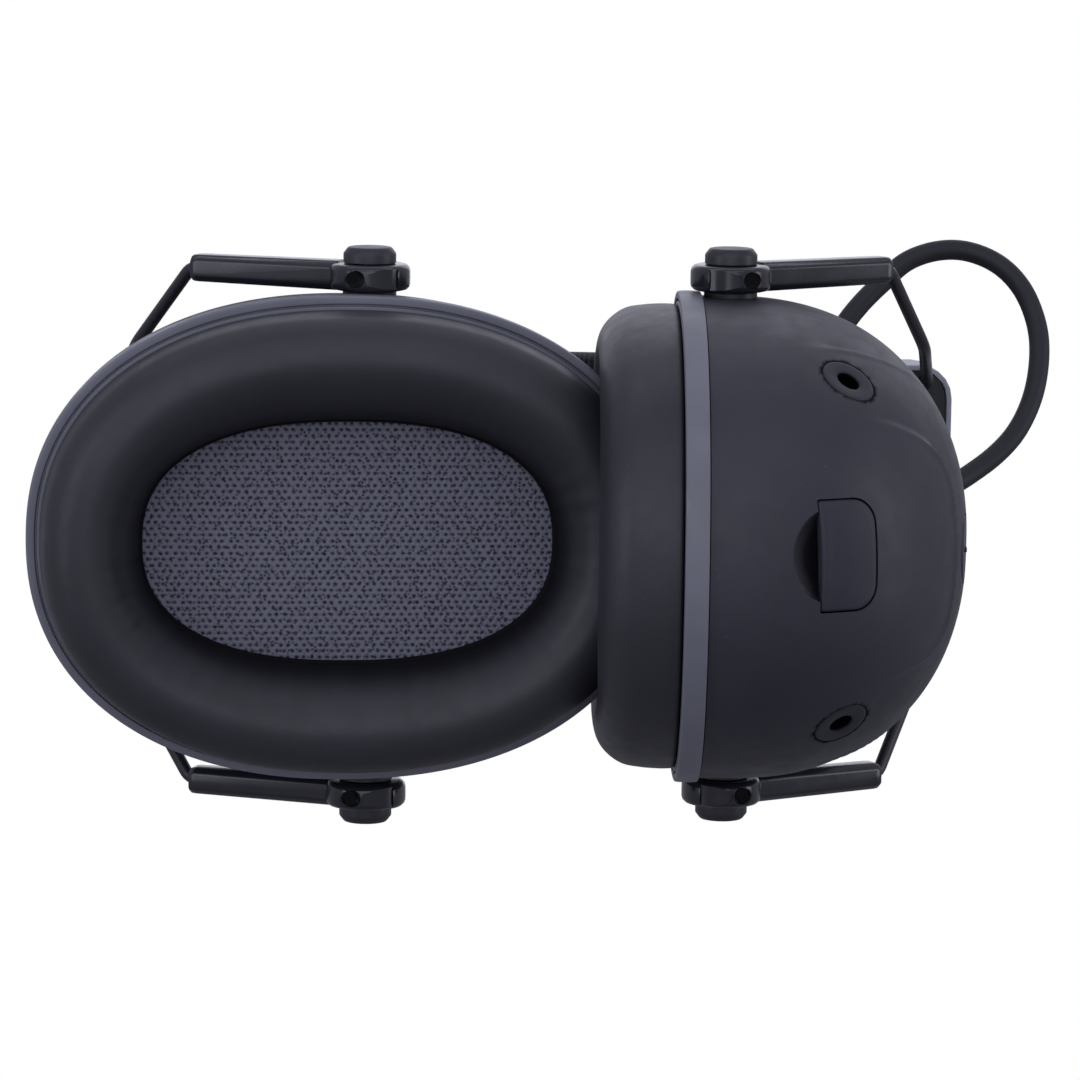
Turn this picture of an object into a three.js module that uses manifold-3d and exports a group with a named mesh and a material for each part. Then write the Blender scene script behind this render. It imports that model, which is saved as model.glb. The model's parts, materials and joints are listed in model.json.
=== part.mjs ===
// Earmuff hearing protector: a headband, wire yokes whose slider blocks ride on the band's tails,
// and two tilting ear cups, the left one folded flat.
// Millimetres, +Z up (towards the crown), +Y the way the wearer faces, +X the wearer's right.
// The origin is the middle of the headband pad's underside, where it rests on the crown.
// Parts are laid out from the midpoint between the two cup pivots, then lowered by CROWN_Z.
import * as THREE from 'three';
import { mergeVertices } from 'three/addons/utils/BufferGeometryUtils.js';
import Module from 'manifold-3d';

const wasm = await Module();
wasm.setup();

// ---------------------------------------------------------------- driving dimensions
const CROWN_Z = 134; // pivots to the underside of the crown pad
const PIVOT_X = 31.8; // half the distance between the two cup pivots
const LEFT_IN = 6; // how much further in the band's left tail sits
// sign is the side of the head along X; tilt is each cup's resting angle in degrees
const LEFT = { side: 'left', sign: -1, tilt: 90 };
const RIGHT = { side: 'right', sign: 1, tilt: 5.5 };
const SIDES = [LEFT, RIGHT];
const ENDS = [{ end: 'front', endSign: 1 }, { end: 'rear', endSign: -1 }];

const FINISHES = {
  shell: { color: 0x3a3b42, roughness: 0.55 },
  trim: { color: 0x696b78, roughness: 0.5 },
  cushion: { color: 0x393b3e, roughness: 0.42 },
  fabric: { color: 0x4b4b55, roughness: 0.9 },
  foam: { color: 0x2a2a2c, roughness: 0.95 },
  gloss: { color: 0x1e202a, roughness: 0.25 },
  wire: { color: 0x26262c, roughness: 0.35, metalness: 0.6 },
  black: { color: 0x26272c, roughness: 0.5 },
  rubber: { color: 0x2c2d33, roughness: 0.7 },
  cable: { color: 0x37373e, roughness: 0.55 },
  steel: { color: 0xa9abb0, roughness: 0.3, metalness: 1 },
  board: { color: 0x1f4a33, roughness: 0.5 },
  battery: { color: 0x8c9299, roughness: 0.4, metalness: 0.4 },
};

// ---------------------------------------------------------------- geometry helpers
const vec = (x, y, z) => new THREE.Vector3(x, y, z);
const offset = (point, direction, distance) => point.clone().addScaledVector(direction, distance);
const radians = THREE.MathUtils.degToRad;
const signedPower = (x, exponent) => Math.sign(x) * Math.abs(x) ** exponent;

function signedVolume(positions, indices) {
  const corner = (k) => vec().fromArray(positions, 3 * k);
  let volume = 0;
  for (let i = 0; i < indices.length; i += 3) {
    const [a, b, c] = [corner(indices[i]), corner(indices[i + 1]), corner(indices[i + 2])];
    volume += a.dot(b.cross(c)) / 6;
  }
  return volume;
}

// A closed body through rings of equal length: fan caps at both ends, or the last ring joined
// to the first when looped. Which way its faces point is settled in clean().
function loft(rings, looped = false) {
  const size = rings[0].length;
  const points = rings.flat();
  const indices = [];
  const spans = looped ? rings.length : rings.length - 1;
  for (let i = 0; i < spans; i++) {
    const a = i * size;
    const b = ((i + 1) % rings.length) * size;
    for (let k = 0; k < size; k++) {
      const next = (k + 1) % size;
      indices.push(a + k, a + next, b + k, a + next, b + next, b + k);
    }
  }
  const addCap = (start, reversed) => {
    const middle = vec(0, 0, 0);
    for (let k = 0; k < size; k++) middle.add(points[start + k]);
    const centre = points.push(middle.divideScalar(size)) - 1;
    for (let k = 0; k < size; k++) {
      const here = start + k;
      const next = start + ((k + 1) % size);
      indices.push(...(reversed ? [centre, next, here] : [centre, here, next]));
    }
  };
  if (!looped) {
    addCap(0, true);
    addCap((rings.length - 1) * size, false);
  }
  const positions = points.flatMap((point) => point.toArray());
  const geometry = new THREE.BufferGeometry();
  geometry.setAttribute('position', new THREE.Float32BufferAttribute(positions, 3));
  geometry.setIndex(indices);
  return geometry;
}

// Positions only, shared vertices merged, faces pointing out.
function clean(source) {
  const bare = source.clone();
  for (const key of Object.keys(bare.attributes)) {
    if (key !== 'position') bare.deleteAttribute(key);
  }
  const geometry = mergeVertices(bare, 1e-4);
  const indices = geometry.index.array;
  if (signedVolume(geometry.attributes.position.array, indices) < 0) {
    for (let i = 0; i < indices.length; i += 3) {
      [indices[i + 1], indices[i + 2]] = [indices[i + 2], indices[i + 1]];
    }
  }
  return geometry;
}

function solid(source) {
  const geometry = clean(source);
  return new wasm.Manifold(new wasm.Mesh({
    numProp: 3,
    vertProperties: new Float32Array(geometry.attributes.position.array),
    triVerts: new Uint32Array(geometry.index.array),
  }));
}

function geometryOf(manifold) {
  const mesh = manifold.getMesh();
  const positions = new Float32Array(mesh.vertProperties);
  const geometry = new THREE.BufferGeometry();
  geometry.setAttribute('position', new THREE.BufferAttribute(positions, 3));
  geometry.setIndex(new THREE.BufferAttribute(new Uint32Array(mesh.triVerts), 1));
  return geometry;
}

const cut = (body, ...tools) =>
  geometryOf(tools.reduce((result, tool) => result.subtract(solid(tool)), solid(body)));
const join = (body, ...others) =>
  geometryOf(others.reduce((result, other) => result.add(solid(other)), solid(body)));
const meet = (body, ...others) =>
  geometryOf(others.reduce((result, other) => result.intersect(solid(other)), solid(body)));

// A box from [low, high] pairs.
function box(x, y, z) {
  const geometry = new THREE.BoxGeometry(x[1] - x[0], y[1] - y[0], z[1] - z[0]);
  return geometry.translate((x[0] + x[1]) / 2, (y[0] + y[1]) / 2, (z[0] + z[1]) / 2);
}

const pin = (radius, height, facets) => new THREE.CylinderGeometry(radius, radius, height, facets);

// A body turned about Y from [radius, y] pairs that start and end on the axis.
const turned = (profile, facets) =>
  new THREE.LatheGeometry(profile.map(([radius, y]) => new THREE.Vector2(radius, y)), facets);
// A turned ring: the profile closes on itself.
const turnedRing = (profile, facets) => turned([...profile, profile[0]], facets);

// Turn a body's Y axis to a direction and move its origin to a point.
function along(geometry, direction, point) {
  const unit = direction.clone().normalize();
  geometry.applyQuaternion(new THREE.Quaternion().setFromUnitVectors(vec(0, 1, 0), unit));
  return geometry.translate(point.x, point.y, point.z);
}

// Faceted tube through points, its frame carried along the path and widened at the bends.
function tube(points, radius, facets) {
  let up = null;
  const rings = points.map((point, i) => {
    const before = points[Math.max(0, i - 1)];
    const after = points[Math.min(points.length - 1, i + 1)];
    const tangent = after.clone().sub(before).normalize();
    up ??= Math.abs(tangent.z) < 0.9 ? vec(0, 0, 1) : vec(1, 0, 0);
    up = offset(up, tangent, -up.dot(tangent)).normalize();
    const sideways = tangent.clone().cross(up);
    let reach = radius;
    if (i > 0 && i < points.length - 1) {
      reach /= Math.max(0.8, point.clone().sub(before).normalize().dot(tangent));
    }
    return Array.from({ length: facets }, (_, k) => {
      const angle = (2 * Math.PI * (k + 0.5)) / facets;
      return offset(offset(point, up, reach * Math.cos(angle)), sideways, reach * Math.sin(angle));
    });
  });
  return loft(rings);
}

// Straight runs joined by rounded corners, one radius for each inner point.
function filleted(points, radii, steps) {
  const path = [points[0]];
  radii.forEach((radius, i) => {
    const corner = points[i + 1];
    const back = points[i].clone().sub(corner);
    const ahead = points[i + 2].clone().sub(corner);
    const trim = Math.min(radius, back.length() * 0.45, ahead.length() * 0.45);
    const start = corner.clone().add(back.setLength(trim));
    const finish = corner.clone().add(ahead.setLength(trim));
    path.push(...new THREE.QuadraticBezierCurve3(start, corner, finish).getPoints(steps));
  });
  path.push(points[points.length - 1]);
  return path;
}

// [x, y] outline with a straight inner edge and two rounded outer corners.
function roundedOutline({ inner, outer, halfWidth, radius, steps }) {
  const corner = (startAngle, centreY) => Array.from({ length: steps + 1 }, (_, k) => {
    const angle = startAngle + (Math.PI / 2) * (k / steps);
    return [outer - radius + radius * Math.cos(angle), centreY + radius * Math.sin(angle)];
  });
  return [
    [inner, -halfWidth],
    ...corner(-Math.PI / 2, radius - halfWidth),
    ...corner(0, halfWidth - radius),
    [inner, halfWidth],
  ];
}

const root = new THREE.Group();
root.position.z = -CROWN_Z;

function add(group, name, geometry, finish) {
  const mesh = new THREE.Mesh(clean(geometry), new THREE.MeshStandardMaterial(FINISHES[finish]));
  mesh.name = name;
  group.add(mesh);
}

// ---------------------------------------------------------------- headband
const ARCH_FOOT_Z = 92.3; // where the straight tails turn into the arch
const ARCH_EXPONENT = 2.08;
const ARCH_SEGMENTS = 21; // odd, so each layer has a level middle facet at exactly its rise
const TAIL_Z = 61.5; // lower end of the straight tails
const SPRING_LIFT = 5.5; // mid spring above the pad's underside
const SPRING_RISE = CROWN_Z + SPRING_LIFT - ARCH_FOOT_Z;
const SCREW_Z = 95.5;
// Faces of each layer: [half span before the left end's shift, rise relative to mid spring]
const LAYERS = {
  pad: { halfWidth: 17.5, inner: [67.4, -SPRING_LIFT], outer: [71.9, -0.8] },
  spring: { halfWidth: 8, inner: [72.3, -0.5], outer: [73.3, 0.5] },
  carrier: { halfWidth: 15.2, inner: [73.6, 0.8], outer: [78.2, 3.7] },
  cover: { halfWidth: 15.8, inner: [78.5, 4.0], outer: [79.5, 5.5] },
};

// An x on the right tail, carried to the given side.
const tailX = (sign, x) => (sign > 0 ? x : LEFT_IN - x);

// [x, z] points of one face of a layer, right end first.
function archCurve([halfSpan, lift]) {
  const power = 2 / ARCH_EXPONENT;
  const highest = Math.sin((Math.PI * (ARCH_SEGMENTS - 1)) / 2 / ARCH_SEGMENTS) ** power;
  const scaleZ = (SPRING_RISE + lift) / highest;
  return Array.from({ length: ARCH_SEGMENTS + 1 }, (_, i) => {
    const angle = (Math.PI * i) / ARCH_SEGMENTS;
    const x = signedPower(Math.cos(angle), power);
    const span = x < 0 ? halfSpan - LEFT_IN : halfSpan;
    return [span * x, ARCH_FOOT_Z + scaleZ * Math.abs(Math.sin(angle)) ** power];
  });
}

const withoutFeet = (curve) => curve.slice(1, -1);
const withTails = (tailZ) => (curve) => [[curve[0][0], tailZ], ...curve, [curve.at(-1)[0], tailZ]];

function band({ halfWidth, inner, outer }, finishEnds) {
  const innerFace = finishEnds(archCurve(inner));
  const outerFace = finishEnds(archCurve(outer));
  return loft(outerFace.map(([outerX, outerZ], i) => {
    const [innerX, innerZ] = innerFace[i];
    return [
      vec(outerX, -halfWidth, outerZ), vec(innerX, -halfWidth, innerZ),
      vec(innerX, halfWidth, innerZ), vec(outerX, halfWidth, outerZ),
    ];
  }));
}

const screwHoles = (radius, from, to) => SIDES.map(({ sign }) => {
  const middle = vec(tailX(sign, (from + to) / 2), 0, SCREW_Z);
  return along(pin(radius, to - from, 12), vec(1, 0, 0), middle);
});

// Screw through the spring into the carrier.
function springScrew(sign) {
  const profile = [
    [0, 0], [2.7, 0], [2.7, 0.6], [2.2, 1.2], [1.2, 1.2], [1.2, 4.6], [0, 4.6],
  ];
  const slot = box([-0.35, 0.35], [-0.2, 0.6], [-1.7, 1.7]);
  const headFace = vec(tailX(sign, 70.15), 0, SCREW_Z);
  return along(cut(turned(profile, 12), slot), vec(sign, 0, 0), headFace);
}

const carrierBand = band(LAYERS.carrier, withTails(TAIL_Z));
const springBand = band(LAYERS.spring, withTails(TAIL_Z + 1.5));
add(root, 'headband_pad', band(LAYERS.pad, withoutFeet), 'cushion');
add(root, 'headband_carrier', cut(carrierBand, ...screwHoles(1.5, 72, 76.4)), 'black');
add(root, 'headband_cover', band(LAYERS.cover, withTails(TAIL_Z)), 'trim');
add(root, 'headband_spring', cut(springBand, ...screwHoles(1.6, 70, 75)), 'steel');

// ---------------------------------------------------------------- slider blocks
const BLOCK = { inner: 70.7, outer: 81.6, halfWidth: 22.4, radius: 5.2, bottom: 60, top: 70 };
const BAND_GAP = 0.3; // clearance round the tail
const COVER_GAP = 0.15;
const COVER_WALL = 1;
const LEG = { x: 77.6, y: 20.3, bottom: 57.4, top: 68 }; // straight end of each yoke wire
const SOCKET_LENGTH = 10;
const GUIDE = { x: 67.3, y: -19.5, bottom: 60, top: 71, radius: 3, bore: 2.35 };

const blockOutline = (grow, inner) => roundedOutline({
  inner,
  outer: BLOCK.outer + grow,
  halfWidth: BLOCK.halfWidth + grow,
  radius: BLOCK.radius + grow,
  steps: 5,
});

function uprightPrism(sign, outline, bottom, top) {
  const shape = new THREE.Shape(outline.map(([x, y]) => new THREE.Vector2(tailX(sign, x), y)));
  const geometry = new THREE.ExtrudeGeometry(shape, { depth: top - bottom, bevelEnabled: false });
  return geometry.translate(0, 0, bottom);
}

// Collar round the band's tail, with a blind socket for each wire.
function sliderBlock(sign) {
  const tailEdges = [LAYERS.spring.inner[0] - BAND_GAP, LAYERS.cover.outer[0] + BAND_GAP];
  const slotX = tailEdges.map((x) => tailX(sign, x)).sort((a, b) => a - b);
  const slotY = LAYERS.cover.halfWidth + BAND_GAP;
  const slot = box(slotX, [-slotY, slotY], [50, 80]);
  const socketZ = LEG.top + 0.6 - SOCKET_LENGTH / 2;
  const sockets = ENDS.map(({ endSign }) => {
    const middle = vec(tailX(sign, LEG.x), endSign * LEG.y, socketZ);
    return along(pin(1.45, SOCKET_LENGTH, 12), vec(0, 0, 1), middle);
  });
  const body = uprightPrism(sign, blockOutline(0, BLOCK.inner), BLOCK.bottom, BLOCK.top);
  return cut(body, slot, ...sockets);
}

// Thin wall round the block's outer faces.
function sliderCover(sign) {
  const inner = BLOCK.inner + 1;
  const outside = blockOutline(COVER_GAP + COVER_WALL, inner);
  const inside = blockOutline(COVER_GAP, inner).reverse();
  return uprightPrism(sign, [...outside, ...inside], BLOCK.bottom - 0.6, BLOCK.top);
}

// Vertical tube closed at the top, at the block's inner rear corner.
function cableGuide(sign) {
  const { radius, bore, bottom, top } = GUIDE;
  const wall = turnedRing([[radius, bottom], [radius, top], [bore, top], [bore, bottom]], 12);
  const lid = turned([[0, top - 1.2], [2.6, top - 1.2], [2.6, top], [0, top]], 12);
  return join(wall, lid).rotateX(Math.PI / 2).translate(tailX(sign, GUIDE.x), GUIDE.y, 0);
}

for (const { side, sign } of SIDES) {
  add(root, `${side}_slider_block`, sliderBlock(sign), 'black');
  add(root, `${side}_slider_cover`, sliderCover(sign), 'trim');
  add(root, `${side}_spring_screw`, springScrew(sign), 'steel');
  add(root, `${side}_cable_guide`, cableGuide(sign), 'black');
}

// ---------------------------------------------------------------- yokes
const WIRE_RADIUS = 1.15;
const WIRE_INSET = 14; // wire length hidden inside the arm
const BEND = { x: 72.0, y: 30.2, z: 30.0 };
const ARM_LENGTH = 33.1;
const ARM_ANGLE = radians(24.9); // rise from the pivot towards the wire end
const ARM_Y = 45.8; // at the pivot
const ARM_END_Y = 46.0;
// Arm stations: [distance from the pivot, half height, half thickness]
const ARM_STATIONS = [
  [1, 2.9, 2.35], [ARM_LENGTH - 1.2, 2.6, 2.3], [ARM_LENGTH, 2.1, 1.8],
];
// Chamfered section: [fraction of half height, fraction of half thickness]
const ARM_SECTION = [
  [1, 0.62], [0.62, 1], [-0.62, 1], [-1, 0.62], [-1, -0.62], [-0.62, -1], [0.62, -1], [1, -0.62],
];

const armPoint = (sign, endSign, distance) => vec(
  sign * (PIVOT_X + distance * Math.cos(ARM_ANGLE)),
  endSign * (ARM_Y + (ARM_END_Y - ARM_Y) * (distance / ARM_LENGTH)),
  distance * Math.sin(ARM_ANGLE),
);
const bendPoint = (sign, endSign) => vec(sign * BEND.x, endSign * BEND.y, BEND.z);

// From inside the arm to the socket in the slider block.
function yokeWire(sign, endSign) {
  const legPoint = (z) => vec(tailX(sign, LEG.x), endSign * LEG.y, z);
  const corners = [
    armPoint(sign, endSign, ARM_LENGTH - WIRE_INSET),
    armPoint(sign, endSign, ARM_LENGTH + 0.6),
    bendPoint(sign, endSign),
    legPoint(LEG.bottom),
    legPoint(LEG.top),
  ];
  return tube(filleted(corners, [2.2, 5, 2.5], 3), WIRE_RADIUS, 6);
}

// Pivot ring and tapering bar, bored for the pivot pin and the wire.
function yokeArm(sign, endSign) {
  const center = (distance) => armPoint(sign, endSign, distance);
  const up = vec(-sign * Math.sin(ARM_ANGLE), 0, Math.cos(ARM_ANGLE));
  const forward = vec(0, 1, 0);
  const bar = loft(ARM_STATIONS.map(([distance, halfHeight, halfThickness]) =>
    ARM_SECTION.map(([high, thick]) =>
      offset(offset(center(distance), up, high * halfHeight), forward, thick * halfThickness))));
  const ring = pin(7.1, 4.6, 20).translate(sign * PIVOT_X, endSign * ARM_Y, 0);
  const bore = pin(3.2, 8, 16).translate(sign * PIVOT_X, endSign * ARM_Y, 0);
  const socketPath = [-WIRE_INSET - 0.4, -0.8, 3].map((past) => center(ARM_LENGTH + past));
  const socket = tube(socketPath, WIRE_RADIUS + 0.35, 8);
  // wider mouth that follows the wire where it turns towards its bend
  const armEnd = center(ARM_LENGTH);
  const toBend = bendPoint(sign, endSign).sub(armEnd).normalize();
  const mouth = along(pin(WIRE_RADIUS + 0.75, 5, 8), toBend, offset(armEnd, toBend, 1.6));
  const dimplePoint = vec(sign * (PIVOT_X + 3.2), endSign * ARM_Y, -6.5);
  const dimple = along(pin(1.35, 4, 10), vec(0, 0, 1), dimplePoint);
  return cut(join(ring, bar), bore, socket, mouth, dimple);
}

for (const { side, sign } of SIDES) {
  for (const { end, endSign } of ENDS) {
    add(root, `${side}_${end}_yoke_wire`, yokeWire(sign, endSign), 'wire');
    add(root, `${side}_${end}_yoke_arm`, yokeArm(sign, endSign), 'gloss');
  }
}

// ---------------------------------------------------------------- ear cup surfaces
// Cup frame, origin on the pivot line: "out" runs away from the head (sign * x), y forward, z up.
const CUP = { halfHeight: 54.9, halfWidth: 41.8, exponent: 2.22, y: -0.7, z: -4.15, facets: 28 };
const DOME_OUT = 41.8; // pivot to the dome's apex
const DOME_EXPONENT = 2.25;
const WALL = 2.4;
const RIM_OUT = -4.9; // open edge of the shell
// Heights of the dome's rings as fractions of the apex height, apex first
const DOME_STEPS = [0.985, 0.93, 0.84, 0.71, 0.54, 0.32, 0.04];
const INNER_DOME_STEPS = [0.96, 0.86, 0.7, 0.46, 0.1];

const mirrored = (sign, point) => vec(sign * point.x, point.y, point.z);
const mirroredRange = (sign, [low, high]) => (sign > 0 ? [low, high] : [-high, -low]);
const cupCenter = (out) => vec(out, CUP.y, CUP.z);

function oval(sign, halfHeight, halfWidth, out, exponent = CUP.exponent) {
  return Array.from({ length: CUP.facets }, (_, i) => {
    const angle = (2 * Math.PI * (i + 0.5)) / CUP.facets;
    const y = CUP.y + halfWidth * signedPower(Math.cos(angle), 2 / exponent);
    const z = CUP.z + halfHeight * signedPower(Math.sin(angle), 2 / exponent);
    return vec(sign * out, y, z);
  });
}
// The cup's own outline grown by a margin.
const cupOval = (sign, grow, out) => oval(sign, CUP.halfHeight + grow, CUP.halfWidth + grow, out);

const domeScale = (height) => (1 - height ** DOME_EXPONENT) ** (1 / DOME_EXPONENT);

// Rings of the dome at a depth below its skin, apex first, ending at the foot.
function domeRings(sign, depth, foot, steps) {
  const rings = steps.map((height) => {
    const scale = domeScale(height);
    const halfHeight = (CUP.halfHeight - depth) * scale;
    const halfWidth = (CUP.halfWidth - depth) * scale;
    return oval(sign, halfHeight, halfWidth, (DOME_OUT - depth) * height);
  });
  return [...rings, cupOval(sign, -depth, foot)];
}
const rightDome = (depth, foot = RIM_OUT) => loft(domeRings(1, depth, foot, DOME_STEPS));

// Places on the dome are { point, normal } for the right cup; onCup mirrors them for the left.
const onCup = (sign, geometry, { point, normal }) =>
  along(geometry, mirrored(sign, normal), mirrored(sign, point));

function lowerDomePoint(out, y) {
  const scale = domeScale(out / DOME_OUT);
  const across = Math.abs((y - CUP.y) / (CUP.halfWidth * scale));
  const drop = (1 - across ** CUP.exponent) ** (1 / CUP.exponent);
  return vec(out, y, CUP.z - CUP.halfHeight * scale * drop);
}

function lowerDomePlace({ out, y }) {
  const step = 0.2;
  const alongOut = lowerDomePoint(out + step, y).sub(lowerDomePoint(out - step, y));
  const alongY = lowerDomePoint(out, y + step).sub(lowerDomePoint(out, y - step));
  const normal = alongOut.cross(alongY).normalize();
  if (normal.z > 0) normal.negate();
  return { point: lowerDomePoint(out, y), normal };
}

function domeOut(y, z) {
  const across = Math.abs((y - CUP.y) / CUP.halfWidth) ** CUP.exponent;
  const upright = Math.abs((z - CUP.z) / CUP.halfHeight) ** CUP.exponent;
  const radial = (across + upright) ** (DOME_EXPONENT / CUP.exponent);
  return DOME_OUT * (1 - radial) ** (1 / DOME_EXPONENT);
}

function outerDomePlace(y, z) {
  const step = 0.2;
  const slopeY = (domeOut(y + step, z) - domeOut(y - step, z)) / (2 * step);
  const slopeZ = (domeOut(y, z + step) - domeOut(y, z - step)) / (2 * step);
  return { point: vec(domeOut(y, z), y, z), normal: vec(1, -slopeY, -slopeZ).normalize() };
}

// ---------------------------------------------------------------- ear cup fittings
const PORTS = [{ name: 'rear', out: 18.8, y: -32.2 }, { name: 'front', out: 18.3, y: 25.9 }];
const BUTTON = { y: -0.7, radius: 6, facets: 18 };
const BUTTONS = [
  { name: 'volume_up_button', z: 15 },
  { name: 'power_button', z: -1 },
  { name: 'volume_down_button', z: -17 },
];
const CABLE_EXIT = outerDomePlace(-1.5, 24.5);

const GROMMET_PROFILE = [[1.9, -3.4], [1.9, 0.1], [4.7, 0.1], [4.7, -3.4]];
const GLAND_PROFILE = [
  [2.4, -3.2], [2.4, 4.2], [2.9, 4.2], [3.9, 1.6], [3.9, 0.8], [2.8, 0.8], [2.8, -3.2],
];

// Charging port flap on the right cup's lower side, in the plane tangent to the dome.
const FLAP = { out: 18.5, y: -4.9, length: 10.8, width: 18.9, radius: 4.2, gap: 0.3, depth: 1.7 };
const flapPlace = lowerDomePlace(FLAP);
const flapAcross = vec(0, 1, 0);
const flapOutward = flapAcross.clone().cross(flapPlace.normal).normalize();
if (flapOutward.x < 0) flapOutward.negate();

// Prism through the dome on the flap's outline, straight edge inboard.
function flapPrism(grow) {
  const outer = FLAP.length / 2 + grow;
  const halfWidth = FLAP.width / 2 + grow;
  const radius = FLAP.radius + grow;
  const outline = roundedOutline({ inner: -outer, outer, halfWidth, radius, steps: 4 });
  return loft([-6, 6].map((height) => outline.map(([outward, across]) => {
    const inPlane = offset(offset(flapPlace.point, flapOutward, outward), flapAcross, across);
    return offset(inPlane, flapPlace.normal, height);
  })));
}

function chargingPortFlap() {
  const skin = cut(rightDome(0), rightDome(FLAP.depth, RIM_OUT - 2));
  return meet(flapPrism(-FLAP.gap), skin);
}

// Shallow round pocket at the flap's straight edge, kept to the inboard side of the flap's centre.
function fingerRecess() {
  const { point, normal } = flapPlace;
  const inboard = box([-20, 0], [-15, 15], [-8, 8]);
  const third = flapOutward.clone().cross(flapAcross);
  inboard.applyMatrix4(new THREE.Matrix4().makeBasis(flapOutward, flapAcross, third));
  inboard.translate(point.x, point.y, point.z);
  const pocketPoint = offset(offset(point, flapOutward, 2.6 - FLAP.length / 2), normal, 0.1);
  return meet(along(pin(8.4, 3.4, 24), normal, pocketPoint), inboard);
}

const buttonPin = ({ z }, gap) =>
  along(pin(BUTTON.radius + gap, 16, BUTTON.facets), vec(1, 0, 0), vec(DOME_OUT - 2, BUTTON.y, z));
const buttonKey = (button) =>
  meet(buttonPin(button, 0), rightDome(0.15), box([36.2, 60], [-30, 30], [-40, 40]));

function cupShell(sign) {
  const outerRings = domeRings(sign, 0, RIM_OUT, DOME_STEPS);
  const innerRings = domeRings(sign, WALL, RIM_OUT, INNER_DOME_STEPS);
  const holes = [
    ...ENDS.map(({ endSign }) => pin(2.75, 12, 12).translate(0, endSign * 41, 0)),
    ...PORTS.map((port) => onCup(sign, pin(5.15, 12, 18), lowerDomePlace(port))),
    onCup(sign, pin(3.15, 12, 12), CABLE_EXIT),
  ];
  if (sign > 0) {
    holes.push(flapPrism(0), fingerRecess(), ...BUTTONS.map((button) => buttonPin(button, 0.35)));
  }
  return cut(loft([...outerRings, ...innerRings.reverse()]), ...holes);
}

// Pin: tail through the shell, collar, neck in the arm's bore, cap outside.
const PIN_COLLAR_Y = { front: 41.6, rear: 42.9 };
function pivotPin(end, endSign) {
  const collar = PIN_COLLAR_Y[end];
  const geometry = turned([
    [0, 38.2], [2.4, 38.2], [2.4, collar], [4.4, collar], [4.4, 43.25], [2.75, 43.25],
    [2.75, 48.4], [4.6, 48.4], [4.6, 49.9], [3.9, 50.7], [0, 50.7],
  ], 16);
  return endSign < 0 ? geometry.rotateX(Math.PI) : geometry;
}

// ---------------------------------------------------------------- rings, cushion and inner parts
const TRIM_OUT = [-9.2, -5.2];
const TRIM_EDGE = 0.7; // chamfer along the axis
const OPENING_EXPONENT = 2.4;
const CARRIER_OUT = [-11.0, -9.6];
const CUSHION_FACE = -23.4;
// Cushion section, outer edge round to the opening: [half height, half width, out, exponent]
const CUSHION_RINGS = [
  [53.0, 40.0, -11.3, 2.22], [53.8, 40.8, -14.4, 2.22], [53.1, 40.1, -18.2, 2.22],
  [50.7, 37.7, -21.3, 2.22], [47.4, 34.5, -23.0, 2.22], [45.0, 32.1, CUSHION_FACE, 2.24],
  [42.0, 28.7, -21.9, 2.28], [39.4, 25.2, -19.3, 2.32], [37.4, 22.8, -16.6, 2.36],
  [36.4, 21.7, -13.8, 2.4], [36.2, 21.5, -11.3, 2.4],
];
const POST = { y: [-15.5, 15.5], z: [-20, 8], half: 2, out: [-3.6, 13.7] };
const SPEAKER_PROFILE = [
  [0, -4.3], [14.7, -4.3], [14.7, -2.8], [15.9, -2.8], [15.9, -1.8], [9.5, 2.2], [9.5, 7.5], [0, 7.5],
];

// Chamfered ring between shell and cushion.
function trimRing(sign) {
  const [low, high] = TRIM_OUT;
  const section = [
    [0.1, low], [0.7, low + TRIM_EDGE], [0.7, high - TRIM_EDGE], [0.1, high],
    [-WALL, high], [-WALL, low],
  ];
  return loft(section.map(([grow, out]) => cupOval(sign, grow, out)), true);
}

// Flat ring that backs the cushion.
function cushionCarrier(sign) {
  const [low, high] = CARRIER_OUT;
  const opening = (out) => oval(sign, 37.6, 23.0, out, OPENING_EXPONENT);
  return loft([cupOval(sign, -1, low), cupOval(sign, -1, high), opening(high), opening(low)], true);
}

const earCushion = (sign) => loft(CUSHION_RINGS.map((ring) => oval(sign, ...ring)), true);
const meshCloth = (sign) =>
  loft([-10.4, -9.6].map((out) => oval(sign, 37.2, 22.6, out, OPENING_EXPONENT)));
const foamInsert = (sign) => loft([-9.3, -5.2].map((out) => oval(sign, 49.5, 36.5, out)));

// Plate with a speaker opening and four posts.
function bafflePlate(sign) {
  const around = (middle) => [middle - POST.half, middle + POST.half];
  const posts = POST.z.flatMap((z) => POST.y.map((y) =>
    box(mirroredRange(sign, POST.out), around(y), around(z))));
  const plate = loft([-4.7, -3.1].map((out) => cupOval(sign, -3, out)));
  const opening = along(pin(15.4, 6, 24), vec(1, 0, 0), cupCenter(sign * -4));
  return join(cut(plate, opening), ...posts);
}

const speaker = (sign) => along(turned(SPEAKER_PROFILE, 16), vec(sign, 0, 0), cupCenter(0));

// Open-bottomed metal box behind the flap.
function chargingSocket() {
  const across = (half) => [FLAP.y - half, FLAP.y + half];
  const body = box([15.9, 19.5], across(4.6), [-51, -43.6]);
  return cut(body, box([16.6, 18.8], across(3.9), [-52, -45]));
}

function addRightCupParts(cup) {
  add(cup, 'charging_port_flap', chargingPortFlap(), 'rubber');
  for (const button of BUTTONS) add(cup, button.name, buttonKey(button), 'rubber');
  add(cup, 'circuit_board', box([14, 15.6], [-20, 18.6], [-44, 13]), 'board');
  add(cup, 'charging_socket', chargingSocket(), 'steel');
}

function addLeftCupParts(cup) {
  add(cup, 'battery_pack', box([-20.5, -14], [-17.5, 16.5], [-27, 13]), 'battery');
}

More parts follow.
